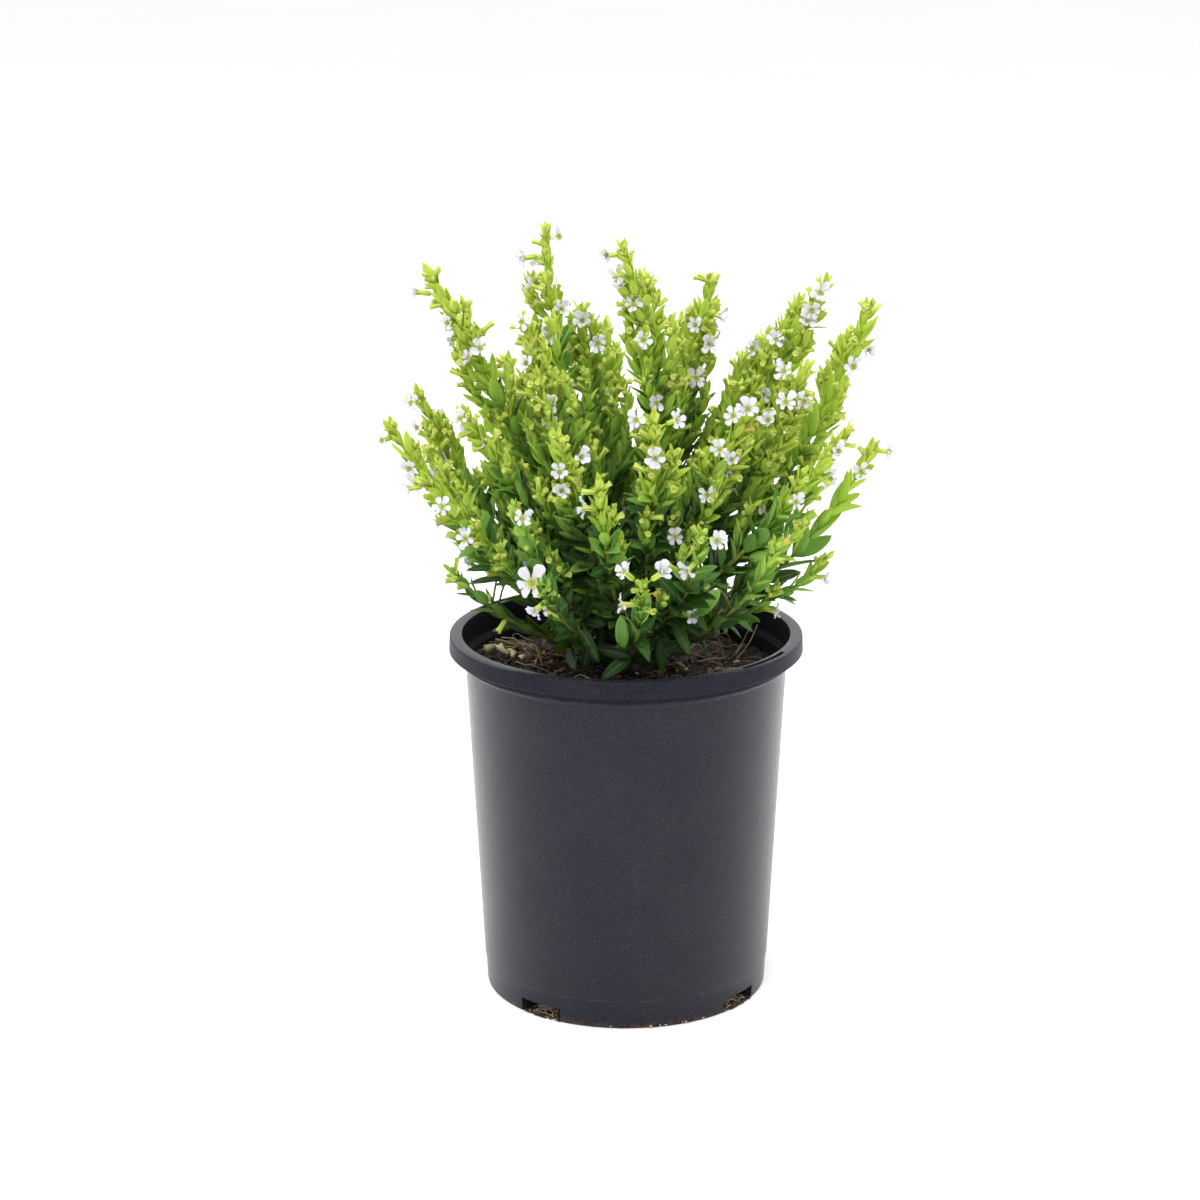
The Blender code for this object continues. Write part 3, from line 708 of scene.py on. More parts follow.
# Each shoot: tier on the crown, a point halfway along it, and its tip, in metres above the potting mix
SHOOTS = (
    (3, (-0.038, -0.002, 0.087), (-0.076, -0.006, 0.159)),
    (4, (-0.023, 0.005, 0.104), (-0.031, 0.006, 0.174)),
    (4, (0.011, -0.009, 0.103), (-0.002, -0.020, 0.172)),
    (4, (0.021, 0.008, 0.090), (0.033, 0.012, 0.154)),
    (3, (0.043, 0.002, 0.092), (0.077, 0.000, 0.154)),
    (2, (0.056, -0.006, 0.068), (0.094, -0.012, 0.148)),
    (1, (0.060, -0.015, 0.044), (0.096, -0.010, 0.092)),
    (2, (0.050, -0.032, 0.060), (0.084, -0.036, 0.104)),
    (2, (-0.050, 0.012, 0.052), (-0.082, 0.014, 0.108)),
    (1, (-0.056, -0.010, 0.050), (-0.091, -0.016, 0.102)),
    (3, (-0.038, -0.020, 0.070), (-0.062, -0.030, 0.110)),
    (4, (-0.012, 0.020, 0.088), (-0.018, 0.024, 0.140)),
    (4, (-0.022, -0.014, 0.083), (-0.038, -0.018, 0.142)),
    (3, (-0.006, 0.034, 0.074), (-0.008, 0.050, 0.128)),
    (3, (0.018, 0.028, 0.076), (0.022, 0.036, 0.132)),
    (3, (-0.016, -0.032, 0.062), (-0.026, -0.048, 0.104)),
    (2, (-0.006, -0.044, 0.050), (-0.010, -0.066, 0.090)),
    (3, (0.010, -0.034, 0.066), (0.010, -0.054, 0.112)),
    (2, (-0.028, -0.036, 0.042), (-0.042, -0.060, 0.080)),
    (1, (-0.020, -0.048, 0.028), (-0.030, -0.080, 0.056)),
    (1, (0.004, -0.048, 0.024), (0.006, -0.081, 0.056)),
    (2, (0.020, -0.042, 0.036), (0.028, -0.068, 0.072)),
    (3, (0.026, -0.029, 0.068), (0.046, -0.038, 0.112)),
    (3, (0.044, -0.018, 0.078), (0.068, -0.030, 0.126)),
    (3, (0.036, 0.020, 0.076), (0.056, 0.028, 0.128)),
    (1, (0.038, -0.042, 0.032), (0.056, -0.062, 0.066)),
    (1, (-0.040, -0.028, 0.024), (-0.066, -0.042, 0.050)),
    (2, (-0.044, -0.024, 0.048), (-0.076, -0.040, 0.086)),
    (3, (-0.032, 0.030, 0.064), (-0.048, 0.048, 0.116)),
    (2, (0.004, 0.048, 0.052), (0.008, 0.072, 0.100)),
    (2, (0.034, 0.044, 0.050), (0.048, 0.064, 0.100)),
    (1, (-0.050, 0.030, 0.028), (-0.080, 0.046, 0.066)),
    (1, (0.054, 0.026, 0.034), (0.084, 0.040, 0.080)),
    (1, (-0.024, 0.050, 0.028), (-0.036, 0.073, 0.064)),
)
SHOOT_SEED, FLOWER_SEED, LITTER_SEED, NOTCH_SEED, PIECE_SEED = 4099, 900, 77, 31, 5
OPEN_FLOWERS = 16

# What changes with a shoot's tier on the crown, from the lowest tier to the highest
NODE_SPACING = np.array((8.2, 7.4, 6.8, 6.6)) * MM
TWIG_CHANCE = (0.0, 0.34, 0.5, 0.54)
FLOWERS_BEHIND = (1, 2, 3, 3)

# Shares of the nodes near a tip that carry a tube or a bud, and how far from the tip they do
TUBE_SHARE, TWIG_TUBE_SHARE, BUD_SHARE = 0.42, 0.17, 0.26
TUBE_REACH = 40 * MM
TWIG_SPACING = 5.8 * MM
TWIG_LONGEST = 42 * MM
TWIG_FLOWER_CHANCE = 0.16

# Twigs leave a shoot between these distances from its tip
FRESH_TIP, TWIG_REACH = 27 * MM, 110 * MM

# Leaves and fewest buds of a tuft, and pairs of leaves at the foot and on the inside of a shoot
TUFT_LEAVES, TUFT_BUDS = 8, 3
LOWER_PAIRS, INNER_PAIRS = 4, 11

FIRST_TIER = 4 * MM
TIER_RISE = 8.5 * MM
SEAT_RADIUS = 5.3 * MM
CANOPY_CENTRE = np.array((0.0, 0.0, 0.195))
CANOPY_RADII = np.array((0.092, 0.080, 0.105))

# Heights below which leaves are painted darker as shade, and darkest
DARKER_BELOW, FOOT_BELOW = 0.220, 0.190

STEM_RINGS, TWIG_RINGS, STRAND_POINTS = 33, 8, 8
STEM_PLACES = (0, 0.15, 0.6, 1.0)
STEM_RADII = np.array((1.25, 1.0, 0.75, 0.5)) * MM
TWIG_RADII = np.linspace(0.55, 0.35, TWIG_RINGS) * MM


def sun_reach(spot):
    """0 deep inside the plant and 1 at its outside."""
    away = (spot - CANOPY_CENTRE) / CANOPY_RADII
    return float(np.clip((np.linalg.norm(away) - 0.45) / 0.5, 0, 1))


def age_and_shade_at(spot, to_tip):
    """How old a leaf is, with painted shade added, from its distance to its twig's tip and its place in the
    plant.
    """
    own = np.clip(to_tip / (90 * MM), 0, 1) ** 0.8
    shade = 1 - sun_reach(spot)
    low = np.clip((DARKER_BELOW - spot[2]) / 0.05, 0, 1)
    low = low * np.clip((0.100 - abs(spot[0])) / 0.045, 0.25, 1)
    foot = np.clip((FOOT_BELOW - spot[2]) / 0.03, 0, 1)
    age = 0.01 + 0.5 * own + 0.28 * shade ** 2 + low * (0.20 + 0.28 * own ** 0.5) + 0.14 * foot
    return float(np.clip(age, 0, 1))


def leaf_size(to_tip):
    """Leaves are small and tight at a tip, and long further down."""
    return float(np.interp(to_tip, np.array((0, 6, 20, 50, 90, 140)) * MM,
                           np.array((4.2, 8.0, 10.6, 13.2, 15.0, 16.5)) * MM))


def leaf_spread(to_tip):
    return radians(float(np.interp(to_tip, np.array((0, 6, 25, 70, 120)) * MM, (24, 22, 25, 34, 56))))


def tip_tuft(growth, tip, along, vigour):
    """The crowded end of a shoot: small leaves, buds and a few tubes that stand out."""
    axes = axes_round(along)
    for k in range(TUFT_LEAVES):
        point, upper = leaning(along, turned_out(axes, GOLDEN_TURN * k), radians(12 + 3.2 * k))
        start = tip - along * ((2.4 + k * 0.9) * MM) * vigour
        growth.leaf(start, point, upper, (3.2 + 0.5 * k) * growth.around(0.85, 1.15) * MM * vigour,
                    age_and_shade_at(tip, 0) + growth.around(-0.04, 0.12))
    for k in range(int(TUFT_BUDS + 3 * vigour)):
        out = turned_out(axes, GOLDEN_TURN * k + growth.around(0, 1))
        point, _ = leaning(along, out, radians(growth.around(14, 58)))
        growth.bud(tip - along * growth.around(1.5, 6.0) * MM, point, growth.around(0.75, 1.1))
    for _ in range(int(1.2 + 2.6 * vigour * growth.around(0.3, 1.0))):
        out = turned_out(axes, growth.around(0, 2 * pi))
        point, _ = leaning(along, out, radians(growth.around(28, 70)))
        growth.calyx(tip - along * growth.around(2.5, 9.0) * MM, point, growth.around(0.66, 0.92))


def grow_nodes(growth, line, length, first_node, spacing, leaf_scale, tube_share, roll):
    """Pairs of leaves along a stem, each pair a quarter turn from the last, with tubes between."""
    places = []
    at, k = first_node, 0
    while at < length * 0.985:
        t = (at + growth.around(-0.15, 0.15) * spacing) / length
        at += spacing * float(np.interp(length - at, np.array((0, 25, 60)) * MM, (0.5, 0.72, 1.0)))
        here = line(t)
        along = unit(line(min(1.0, t + 0.01)) - line(max(0.0, t - 0.01)))
        first = square_to(along, np.array((cos(roll), sin(roll), 0.1)))
        axes = (first, np.cross(along, first))
        turn = pi / 2 * (k % 2) + growth.around(-0.25, 0.25)
        k += 1
        pair, beside = turned_out(axes, turn), turned_out(axes, turn + pi / 2)
        to_tip = (1 - t) * length
        places.append((here, along, pair, beside, to_tip))
        age = age_and_shade_at(here, to_tip)
        for out in (pair, -pair):
            spread = leaf_spread(to_tip) * growth.around(0.65, 1.3)
            size = leaf_size(to_tip) * leaf_scale * growth.around(0.8, 1.2)
            point, upper = leaning(along, out, spread)
            growth.leaf(here + out * 0.4 * MM, point, upper, size, age + growth.around(-0.06, 0.06))
        flowering = float(np.interp(here[2], (0.19, 0.245), (0.22, 1.0)))
        for share, made in ((tube_share, growth.calyx), (BUD_SHARE, growth.bud)):
            if to_tip < TUBE_REACH and growth.around(0, 1) < share * flowering:
                out = beside * (1 if growth.around(0, 1) < 0.5 else -1)
                point, _ = leaning(along, out, radians(growth.around(45, 85)))
                made(here + out * 0.3 * MM, point, growth.around(0.85, 1.08))
    return places


def open_flowers(growth, places, wanted):
    """Opens some flowers along a stem, mostly on its outer side."""
    ready = [place for place in places if 5 * MM < place[4] < 62 * MM]
    growth.random.shuffle(ready)
    for here, along, _, beside, _ in ready[:wanted]:
        outward = unit(here * (1, 1, 0) + UP * 0.02)
        out = beside if beside @ outward > 0 else -beside
        point, _ = leaning(along, out, radians(growth.around(50, 78)))
        point = unit(point + outward * growth.around(0.1, 0.7))
        growth.flower(here + out * 0.3 * MM, point, growth.around(0.8, 0.98))


def lower_leaves(growth, line):
    """Long dark leaves that spread and droop from the bare foot of a shoot, over the mix."""
    for k in range(LOWER_PAIRS):
        t = 0.07 + 0.052 * k
        here = line(t)
        along = unit(line(t + 0.01) - here)
        first = square_to(along, UP)
        axes = (first, np.cross(along, first))
        for side in (0, pi):
            out = turned_out(axes, side + k * pi / 2 + growth.around(-0.5, 0.5))
            point, _ = leaning(along, out, radians(growth.around(55, 88)))
            point = unit(point - UP * growth.around(0, 0.25))
            size = growth.around(12, 17) * MM
            end = here + point * size
            if end[2] > MIX_HIGH + 2.5 * MM and np.hypot(end[0], end[1]) < BODY_INNER - 8 * MM:
                growth.place_leaf(here, point, along - point * 0.2, size, growth.around(0.85, 1.0),
                                  growth.around(0.2, 0.7))


def inner_leaves(growth, line):
    """Dark leaves that fill the inside of the plant, where little sun reaches."""
    for k in range(INNER_PAIRS):
        t = 0.15 + 0.048 * k
        here = line(t)
        along = unit(line(t + 0.01) - here)
        axes = axes_round(along)
        turn = growth.around(0, pi)
        for side in (0, pi):
            point, upper = leaning(along, turned_out(axes, turn + side), radians(growth.around(28, 66)))
            growth.leaf(here, point, upper, growth.around(11, 16) * MM, growth.around(0.62, 0.96))


def grow_twig(growth, here, along, out, length):
    """A side twig that leaves its shoot and turns up beside it."""
    point, _ = leaning(along, out, radians(growth.around(30, 50)))
    bend = here + point * length * 0.55
    end = here + unit(point * 0.6 + along * 0.5 + UP * 0.3) * length
    if end[2] < lowest_leaf(end) + 5 * MM:
        return

    def line(t):
        return bezier(here, bend, end, t)

    steps = line(np.linspace(0, 1, TWIG_RINGS))
    growth.stem(steps, TWIG_RADII, age_and_shade_at(here, length) * 0.7, 0.1, 6)
    places = grow_nodes(growth, line, length, 3.5 * MM, TWIG_SPACING, 0.92, TWIG_TUBE_SHARE,
                        growth.around(0, pi))
    if growth.around(0, 1) < TWIG_FLOWER_CHANCE:
        open_flowers(growth, places, 1)
    tip_tuft(growth, end, unit(end - line(0.9)), growth.around(0.6, 0.9))


def shoot_line(tier, middle, tip):
    """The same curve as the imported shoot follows."""
    lift = np.array((0.0, 0.0, MIX_HIGH))
    middle = np.array(middle) + lift
    tip = np.array(tip) + lift
    outward = unit(np.array((middle[0], middle[1], 0.0)))
    base = outward * SEAT_RADIUS + UP * (MIX_HIGH + FIRST_TIER + TIER_RISE * (tier - 1))
    bend = middle * 2 - (base + tip) / 2
    return lambda t: bezier(base, bend, tip, t)


def facing(azimuth, lift):
    """A direction from its degrees round from the front towards the right, and up."""
    a, b = radians(azimuth), radians(lift)
    return np.array((sin(a) * cos(b), -cos(a) * cos(b), sin(b)))


# Shoots with more side twigs than others, with larger leaves, and in the shade of others
BUSHIER = {1: 0.25, 2: -0.15, 3: 0.05, 4: 0.2, 5: 0.25, 6: 0.15, 7: 0.2, 8: 0.1, 9: 0.3, 10: 0.25, 12: 0.3,
           13: 0.4, 14: 0.25, 15: 0.3, 24: 0.25, 25: 0.35, 28: 0.15}
LEAFIER = {1: 1.08, 2: 0.82, 3: 0.86, 4: 0.95, 5: 1.05, 6: 1.15, 7: 1.1}
SHADED = {12: 0.1, 19: 0.25, 20: 0.55, 21: 0.3, 22: 0.35, 26: 0.3, 27: 0.5, 32: 0.2, 34: 0.2}

# Flowers on the front of each shoot: distance from its tip in mm, facing azimuth and lift in degrees,
# length of the stalk in mm, size
FRONT_FLOWERS = {
    1: ((10, -80, -5, 3, 0.95), (36, 30, 30, 6, 0.85), (24, -20, 10, 3, 0.9)),
    2: ((12, -75, 5, 4, 0.95), (5, 70, 0, 2, 0.9), (48, -8, 15, 4, 0.9), (35, 35, 25, 2, 0.85)),
    3: ((5, -70, 0, 3, 0.95), (43, 0, 20, 2, 0.9), (67, 10, 10, 2, 0.85), (26, -60, 30, 5, 0.8)),
    4: ((41, 0, 20, 2, 0.9), (20, -30, 25, 3, 0.85), (30, 45, 20, 6, 0.95)),
    5: ((8, 20, 20, 1, 0.9), (23, 25, 25, 1, 0.9), (36, -30, 35, 4, 0.85)),
    6: ((23, 10, 15, 1, 1.0),),
    7: ((3, 55, 0, 2, 0.85),),
    8: ((12, 30, 20, 1, 0.85),),
    9: ((14, -70, 5, 3, 0.8), (5, -35, 10, 1, 0.85), (43, -50, 10, 3, 0.95)),
    10: ((7, -50, 0, 2, 0.85), (31, -60, 0, 1, 0.95), (22, 0, 15, 3, 0.9)),
    11: ((10, -30, 20, 2, 0.9),),
    12: ((7, 10, 22, 3, 0.9), (18, 40, 18, 4, 0.9)),
    13: ((20, -60, 20, 4, 0.85), (2, -10, 30, 1, 0.85), (32, 8, 15, 2, 0.85), (41, -30, 10, 3, 0.85)),
    14: ((6, -20, 30, 3, 0.9),),
    15: ((10, 10, 22, 3, 0.9), (20, 45, 20, 5, 0.9)),
    16: ((19, -5, 20, 3, 0.95), (29, -40, 10, 5, 0.9), (14, 55, 20, 4, 0.9)),
    18: ((20, 8, 15, 1, 1.0), (3, -40, 25, 5, 0.9), (5, 50, 20, 5, 0.85)),
    19: ((42, -15, 8, 11, 1.45), (6, 5, 20, 3, 0.9)),
    21: ((3, -70, 35, 4, 0.95), (2, 60, 30, 4, 1.0)),
    22: ((2, 40, 15, 6, 0.95),),
    23: ((3, 20, 15, 2, 1.05), (5, -40, 25, 4, 0.9), (21, -25, 15, 5, 0.85), (42, 0, 10, 2, 0.8)),
    24: ((22, -12, 30, 5, 0.95), (8, -50, 20, 4, 0.95), (34, -30, 20, 4, 0.95)),
    25: ((8, -20, 22, 3, 0.9),),
    28: ((5, -75, 0, 3, 0.85), (37, -40, 0, 4, 0.95), (19, -20, 10, 3, 0.9)),
}
LARGE_FLOWER = 1.2


def front_flowers(growth, line, length, number):
    """Flowers that face the front. A large one is open wide and doesn't sway."""
    for to_tip, azimuth, lift, stalk, size in FRONT_FLOWERS.get(number, ()):
        here = line(1 - to_tip * MM / length)
        sway = 1.0 if size < LARGE_FLOWER else 0.0
        point = facing(azimuth + sway * growth.around(-20, 20), lift + sway * growth.around(-14, 14))
        start = here + point * stalk * MM
        middle = here + point * stalk * MM / 2 - UP * 0.1 * MM
        growth.stem([here, middle, start], [0.3 * MM] * 3, 0.1, 0.0, 6)
        growth.flower(start, point + facing(0, 14) * 0.45, size * 1.1)


# Large low leaves of each shoot that hang over the mix and the rim: base and tip in mm, width in mm, age with
# painted shade
APRON_LEAVES = {
    7: (((43, -20, 165), (54, -22, 163), 3.0, 0.74), ((51, -18, 171), (67, -20, 164), 3.2, 0.7)),
    17: (((2, -40, 160), (9, -50, 150), 4.8, 0.82),),
    18: (((8, -36, 172), (6, -52, 166), 5.0, 0.66),),
    19: (((-20, -34, 160), (-10, -44, 148), 4.6, 0.86),),
    20: (((-29, -37, 167), (-24, -38, 153), 5.0, 0.66), ((-13, -33, 153), (-17, -37, 142), 4.4, 0.9)),
    21: (((-2, -51, 167), (-1, -52, 153), 5.2, 0.52), ((13, -32, 153), (14, -37, 141), 4.2, 0.92)),
    22: (((18, -34, 160), (24, -46, 152), 4.6, 0.8), ((22, -30, 168), (30, -44, 162), 4.8, 0.7)),
    26: (((36, -40, 174), (27, -42, 165), 6.0, 0.5), ((37, -31, 164), (39, -33, 154), 2.6, 0.6),
        ((38, -26, 162), (50, -28, 155), 3.6, 0.7)),
    27: (((-49, -20, 177), (-61, -24, 179), 3.2, 0.66), ((-46, -24, 174), (-60, -28, 175), 3.0, 0.74)),
}


def apron(growth, line, number):
    for base, tip, width, age in APRON_LEAVES.get(number, ()):
        base, tip = np.array(base) * MM, np.array(tip) * MM
        here = line(nearest_on(line, base))
        growth.stem([here, (here + base) / 2 + UP * 1.5 * MM, base], np.array((0.5, 0.4, 0.32)) * MM,
                    0.8, 0.5, 6)
        size = float(np.linalg.norm(tip - base))
        growth.place_leaf(base, tip - base, (0, -0.7, 0.7), size * 1.04, age, 0.5, width * MM)


def nearest_on(line, spot):
    t = np.linspace(0, 1, 200)
    return t[np.argmin(np.linalg.norm(line(t) - spot, axis=1))]


def grow_shoot(number, shoot):
    tier = shoot[0] - 1
    bushier = BUSHIER.get(number, 0.0)
    growth = Growth(SHOOT_SEED + number, SHADED.get(number, 0.0))
    line = shoot_line(*shoot)
    t = np.linspace(0, 1, STEM_RINGS)
    steps = line(t)
    length = float(np.linalg.norm(np.diff(steps, axis=0), axis=1).sum())
    growth.stem(steps, np.interp(t, STEM_PLACES, STEM_RADII), 0.9, 0.0)
    places = grow_nodes(growth, line, length, length * 0.24, NODE_SPACING[tier],
                        LEAFIER.get(number, 1.0), TUBE_SHARE, growth.around(0, pi))
    highest = FRESH_TIP - 24 * MM * bushier
    for here, along, pair, _, to_tip in places:
        if not highest < to_tip < TWIG_REACH:
            continue
        for out in (pair, -pair):
            if growth.around(0, 1) < TWIG_CHANCE[tier] + bushier:
                reach = min(TWIG_LONGEST, 7 * MM + to_tip * growth.around(0.15, 0.40))
                grow_twig(growth, here, along, out, reach)
    lower_leaves(growth, line)
    if tier > 0:
        inner_leaves(growth, line)
    behind = shoot[2][1] > 0.005
    open_flowers(growth, places, FLOWERS_BEHIND[tier] if behind else 0)
    front_flowers(growth, line, length, number)
    apron(growth, line, number)
    tip_tuft(growth, line(1.0), unit(line(1.0) - line(0.97)), 1.15)
    return growth, line


def add_plant(finishes):
    lines = []
    for number, shoot in enumerate(SHOOTS, 1):
        growth, line = grow_shoot(number, shoot)
        lines.append(line)
        name = f"shoot_{number:02d}"
        settle(growth.bundle().piece(f"leafy_{name}", finishes), "foliage", name)
    for number in range(1, OPEN_FLOWERS + 1):
        node = f"flower_{number:02d}"
        low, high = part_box(node)
        centre = np.array((low + high) / 2)
        line = min(lines, key=lambda one: np.linalg.norm(one(nearest_on(one, centre)) - centre))
        here = line(nearest_on(line, centre))
        point = unit(centre - here)
        growth = Growth(FLOWER_SEED + number)
        growth.flower(here + point * 0.4 * MM, point, 1.0)
        settle(growth.bundle().piece(f"open_{node}", finishes), "petals", node)


# ---------------------------------------------------------------- crown and mix

CROWN_RINGS, CROWN_CORNERS = 40, 28
MIX_RINGS, MIX_CORNERS = 84, 300
MIX_FOOT_RADIUS = 55.2 * MM
MOUND_X, MOUND_Y, MOUND_WIDTH, MOUND_HEIGHT = -0.054, 0.006, 0.015, 6 * MM


def add_crown(finish):
    low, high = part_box("crown")
    height = np.linspace(low.z, high.z, CROWN_RINGS)
    turn = np.arange(CROWN_CORNERS) * 2 * pi / CROWN_CORNERS
    share = (height - MIX_HIGH) / (high.z - MIX_HIGH)
    radius = np.interp(share, (-0.3, 0.0, 0.12, 0.9, 1.0), (4.0, 5.3, 4.3, 3.9, 0.6)) * MM
    knots = 0.35 * MM * np.cos(5 * turn[None] + 14 * share[:, None])
    ridges = 0.25 * MM * np.cos(11 * turn[None] - 5 * share[:, None])
    ring = radius[:, None] + (knots + ridges) * (share[:, None] < 0.95)
    made = Bundle()
    made.add(round_axis(ring, turn, height[:, None])[None], 0)
    settle(made.piece("woody_crown", [finish]), "woody_stem", "crown")


def fractal(x, y, scale, seed, octaves=4):
    total, size = 0.0, 1.0
    for octave in range(octaves):
        total += size * noise.noise(Vector((x * scale, y * scale, seed + 7.3 * octave)))
        scale *= 2.1
        size *= 0.55
    return total


def mix_height(x, y):
    """Height of the crumbly top of the potting mix."""
    radius = sqrt(x * x + y * y)
    edge = max(0.0, (radius - 0.030) / 0.032)
    lumps = fractal(x, y, 160, 3.0, 5) * 1.5 * MM + fractal(x, y, 40, 11.0, 2) * 1.2 * MM
    mound = MOUND_HEIGHT * np.exp(-((x - MOUND_X) ** 2 + (y - MOUND_Y) ** 2) / (2 * MOUND_WIDTH ** 2))
    return MIX_HIGH - 1.2 * MM - 1.6 * MM * edge + lumps + mound


def add_mix(finish):
    """The mix fills the pot: rings from its axis, out over the crumbly top and down the wall."""
    low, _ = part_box("potting_mix")
    outer = BODY_INNER - 0.5 * MM
    turn = np.arange(MIX_CORNERS) * 2 * pi / MIX_CORNERS
    rings = []
    for radius in np.linspace(0.4 * MM, outer, MIX_RINGS):
        spots = [(radius * cos(a), radius * sin(a)) for a in turn]
        rings.append([(x, y, mix_height(x, y)) for x, y in spots])
    edge = rings[-1]
    for share in (0.02, 0.3, 0.7, 1.0):
        radius = outer + (MIX_FOOT_RADIUS - outer) * share
        rings.append([(radius * cos(a), radius * sin(a), edge[i][2] * (1 - share) + low.z * share)
                      for i, a in enumerate(turn)])
    rings.append([(2 * MM * cos(a), 2 * MM * sin(a), low.z) for a in turn])
    made = Bundle()
    made.add(np.array(rings)[None], 0)
    settle(made.piece("crumbly_potting_mix", [finish]), "potting_mix", "potting_mix")


def lumps(random, centres, sizes, turns, rings=6, corners=8, jag=0.16):
    """Rough chips and stones: squashed balls with every corner pushed in or out."""
    count = len(centres)
    slope = np.linspace(0.1 * pi, 0.9 * pi, rings)[None, :, None]
    turn = (np.arange(corners) * 2 * pi / corners)[None, None, :]
    push = 1 + random.normal(0, jag, (count, rings, corners))
    shape = np.stack([np.cos(slope) * push, np.sin(slope) * np.cos(turn) * push,
                      np.sin(slope) * np.sin(turn) * push], axis=-1)
    shape = shape * np.asarray(sizes)[:, None, None] / 2
    turns = np.asarray(turns)[:, :, None, None]
    yaw, tilt = turns[:, 0], turns[:, 1]
    x, y, z = shape[..., 0], shape[..., 1], shape[..., 2]
    x, z = rotated(x, z, tilt)
    x, y = rotated(x, y, yaw)
    return np.stack([x, y, z], axis=-1) + np.asarray(centres)[:, None, None]


def scattered(random, count, inner=7 * MM, outer=BODY_INNER - 4 * MM):
    """Spots spread evenly over the potting mix."""
    radius = np.sqrt(random.uniform(inner ** 2, outer ** 2, count))
    turn = random.uniform(0, 2 * pi, count)
    return [spot_round(r, a, mix_height(r * cos(a), r * sin(a))) for r, a in zip(radius, turn)]


def strand(random, spot, length, lift):
    """A thin curved line that lies on the mix with its middle lifted: ranges of its length and lift in mm."""
    points, last = [], STRAND_POINTS - 1
    heading = random.uniform(0, 2 * pi)
    length, lift = random.uniform(*length) * MM, random.uniform(*lift) * MM
    turn = random.uniform(-0.35, 0.35)
    for k in range(STRAND_POINTS):
        height = mix_height(spot[0], spot[1]) + 0.5 * MM + lift * sin(pi * (k / last))
        points.append((spot[0], spot[1], height))
        heading += turn
        step = length / last * np.array((cos(heading), sin(heading), 0))
        if np.hypot(*(spot + step)[:2]) > BODY_INNER - 2.5 * MM:
            heading += pi / 2
            step = length / last * np.array((cos(heading), sin(heading), 0))
        spot = spot + step
    return points


CRUMB, BARK, FIBRE, GRIT, WITHERED = range(5)

# Loose lumps on the mix: finish, count, smallest and largest size in mm, flatness, roughness of shape
LOOSE_LUMPS = ((CRUMB, 520, 0.8, 2.8, 0.7, 0.2), (BARK, 90, 2.5, 6.5, 0.35, 0.12),
               (GRIT, 46, 0.8, 2.4, 0.8, 0.14))
FINE_FIBRES, STRIPS_OF_BARK, FALLEN_LEAVES = 110, 16, 22


def add_litter(finishes):
    """What lies loose on the mix: crumbs, bark, grit, fibres and fallen leaves."""
    random = np.random.default_rng(LITTER_SEED)
    made = Bundle()
    for finish, count, small, large, flat, jag in LOOSE_LUMPS:
        spots = np.array(scattered(random, count))
        long = random.uniform(small, large, count) * MM
        wide = long * random.uniform(0.4, 0.8, count)
        sizes = np.stack([long, wide, long * flat * random.uniform(0.5, 1, count)], axis=-1)
        turns = np.stack([random.uniform(0, 2 * pi, count), random.normal(0, 0.4, count)], axis=-1)
        spots[:, 2] += sizes[:, 2] * 0.3
        made.add(lumps(random, spots, sizes, turns, jag=jag), finish, tone=random.uniform(0, 1, count))
    add_pale_lumps(random, made)
    settle(made.piece("mix_crumbs", finishes, flat=True), "potting_mix")
    made = Bundle()
    for spot in scattered(random, FINE_FIBRES):
        line = strand(random, spot, (7, 26), (0.2, 2.6))
        radius = random.uniform(0.1, 0.24) * MM
        radii = np.linspace(radius, radius * 0.5, len(line))
        made.add(tube(line, radii, 5), FIBRE, tone=random.uniform(0, 1))
    for spot in scattered(random, STRIPS_OF_BARK, 14 * MM):
        line = strand(random, spot, (10, 24), (0.5, 3.0))
        made.add(tube(line, np.linspace(0.55, 0.3, len(line)) * MM, 6), BARK, tone=random.uniform(0.4, 1))
    count = FALLEN_LEAVES
    spots = np.array(scattered(random, count, 16 * MM, BODY_INNER - 14 * MM)) + UP * 1.2 * MM
    heading = random.uniform(0, 2 * pi, count)
    point = np.stack([np.cos(heading), np.sin(heading), random.uniform(0, 0.25, count)], axis=-1)
    length, width = random.uniform(6, 11, count) * MM, random.uniform(2, 3.6, count) * MM
    bend, fold = random.uniform(-0.2, 0.6, count), random.uniform(0.2, 0.7, count)
    points, values = blades(spots, point, np.tile(UP, (count, 1)), length, width, leaf_outline,
                            bend, fold, random.uniform(-0.6, 0.6, count), 0.15)
    made.add(points, WITHERED, tone=random.uniform(0, 1, count), **values)
    add_dead_stems(random, made)
    settle(made.piece("loose_fibres", finishes), "potting_mix")


# Pale lumps heaped at the left of the mix: place and size in mm, and how pale each is
PALE_LUMPS = (
    (-55, 8, 5.5, 4.0, 3.4, 0.30), (-49, 4, 6.4, 4.6, 3.6, 0.95), (-51, 11, 4.6, 3.2, 2.4, 0.70),
    (-45, 2, 3.4, 2.6, 2.2, 0.80), (-41, 0, 2.8, 2.6, 2.2, 1.00), (-38, 3, 2.4, 2.0, 1.8, 0.75),
    (-46, 10, 5.0, 2.0, 1.6, 0.60), (37, -4, 3.4, 2.2, 1.6, 0.55), (44, 6, 2.6, 2.0, 1.4, 0.65))

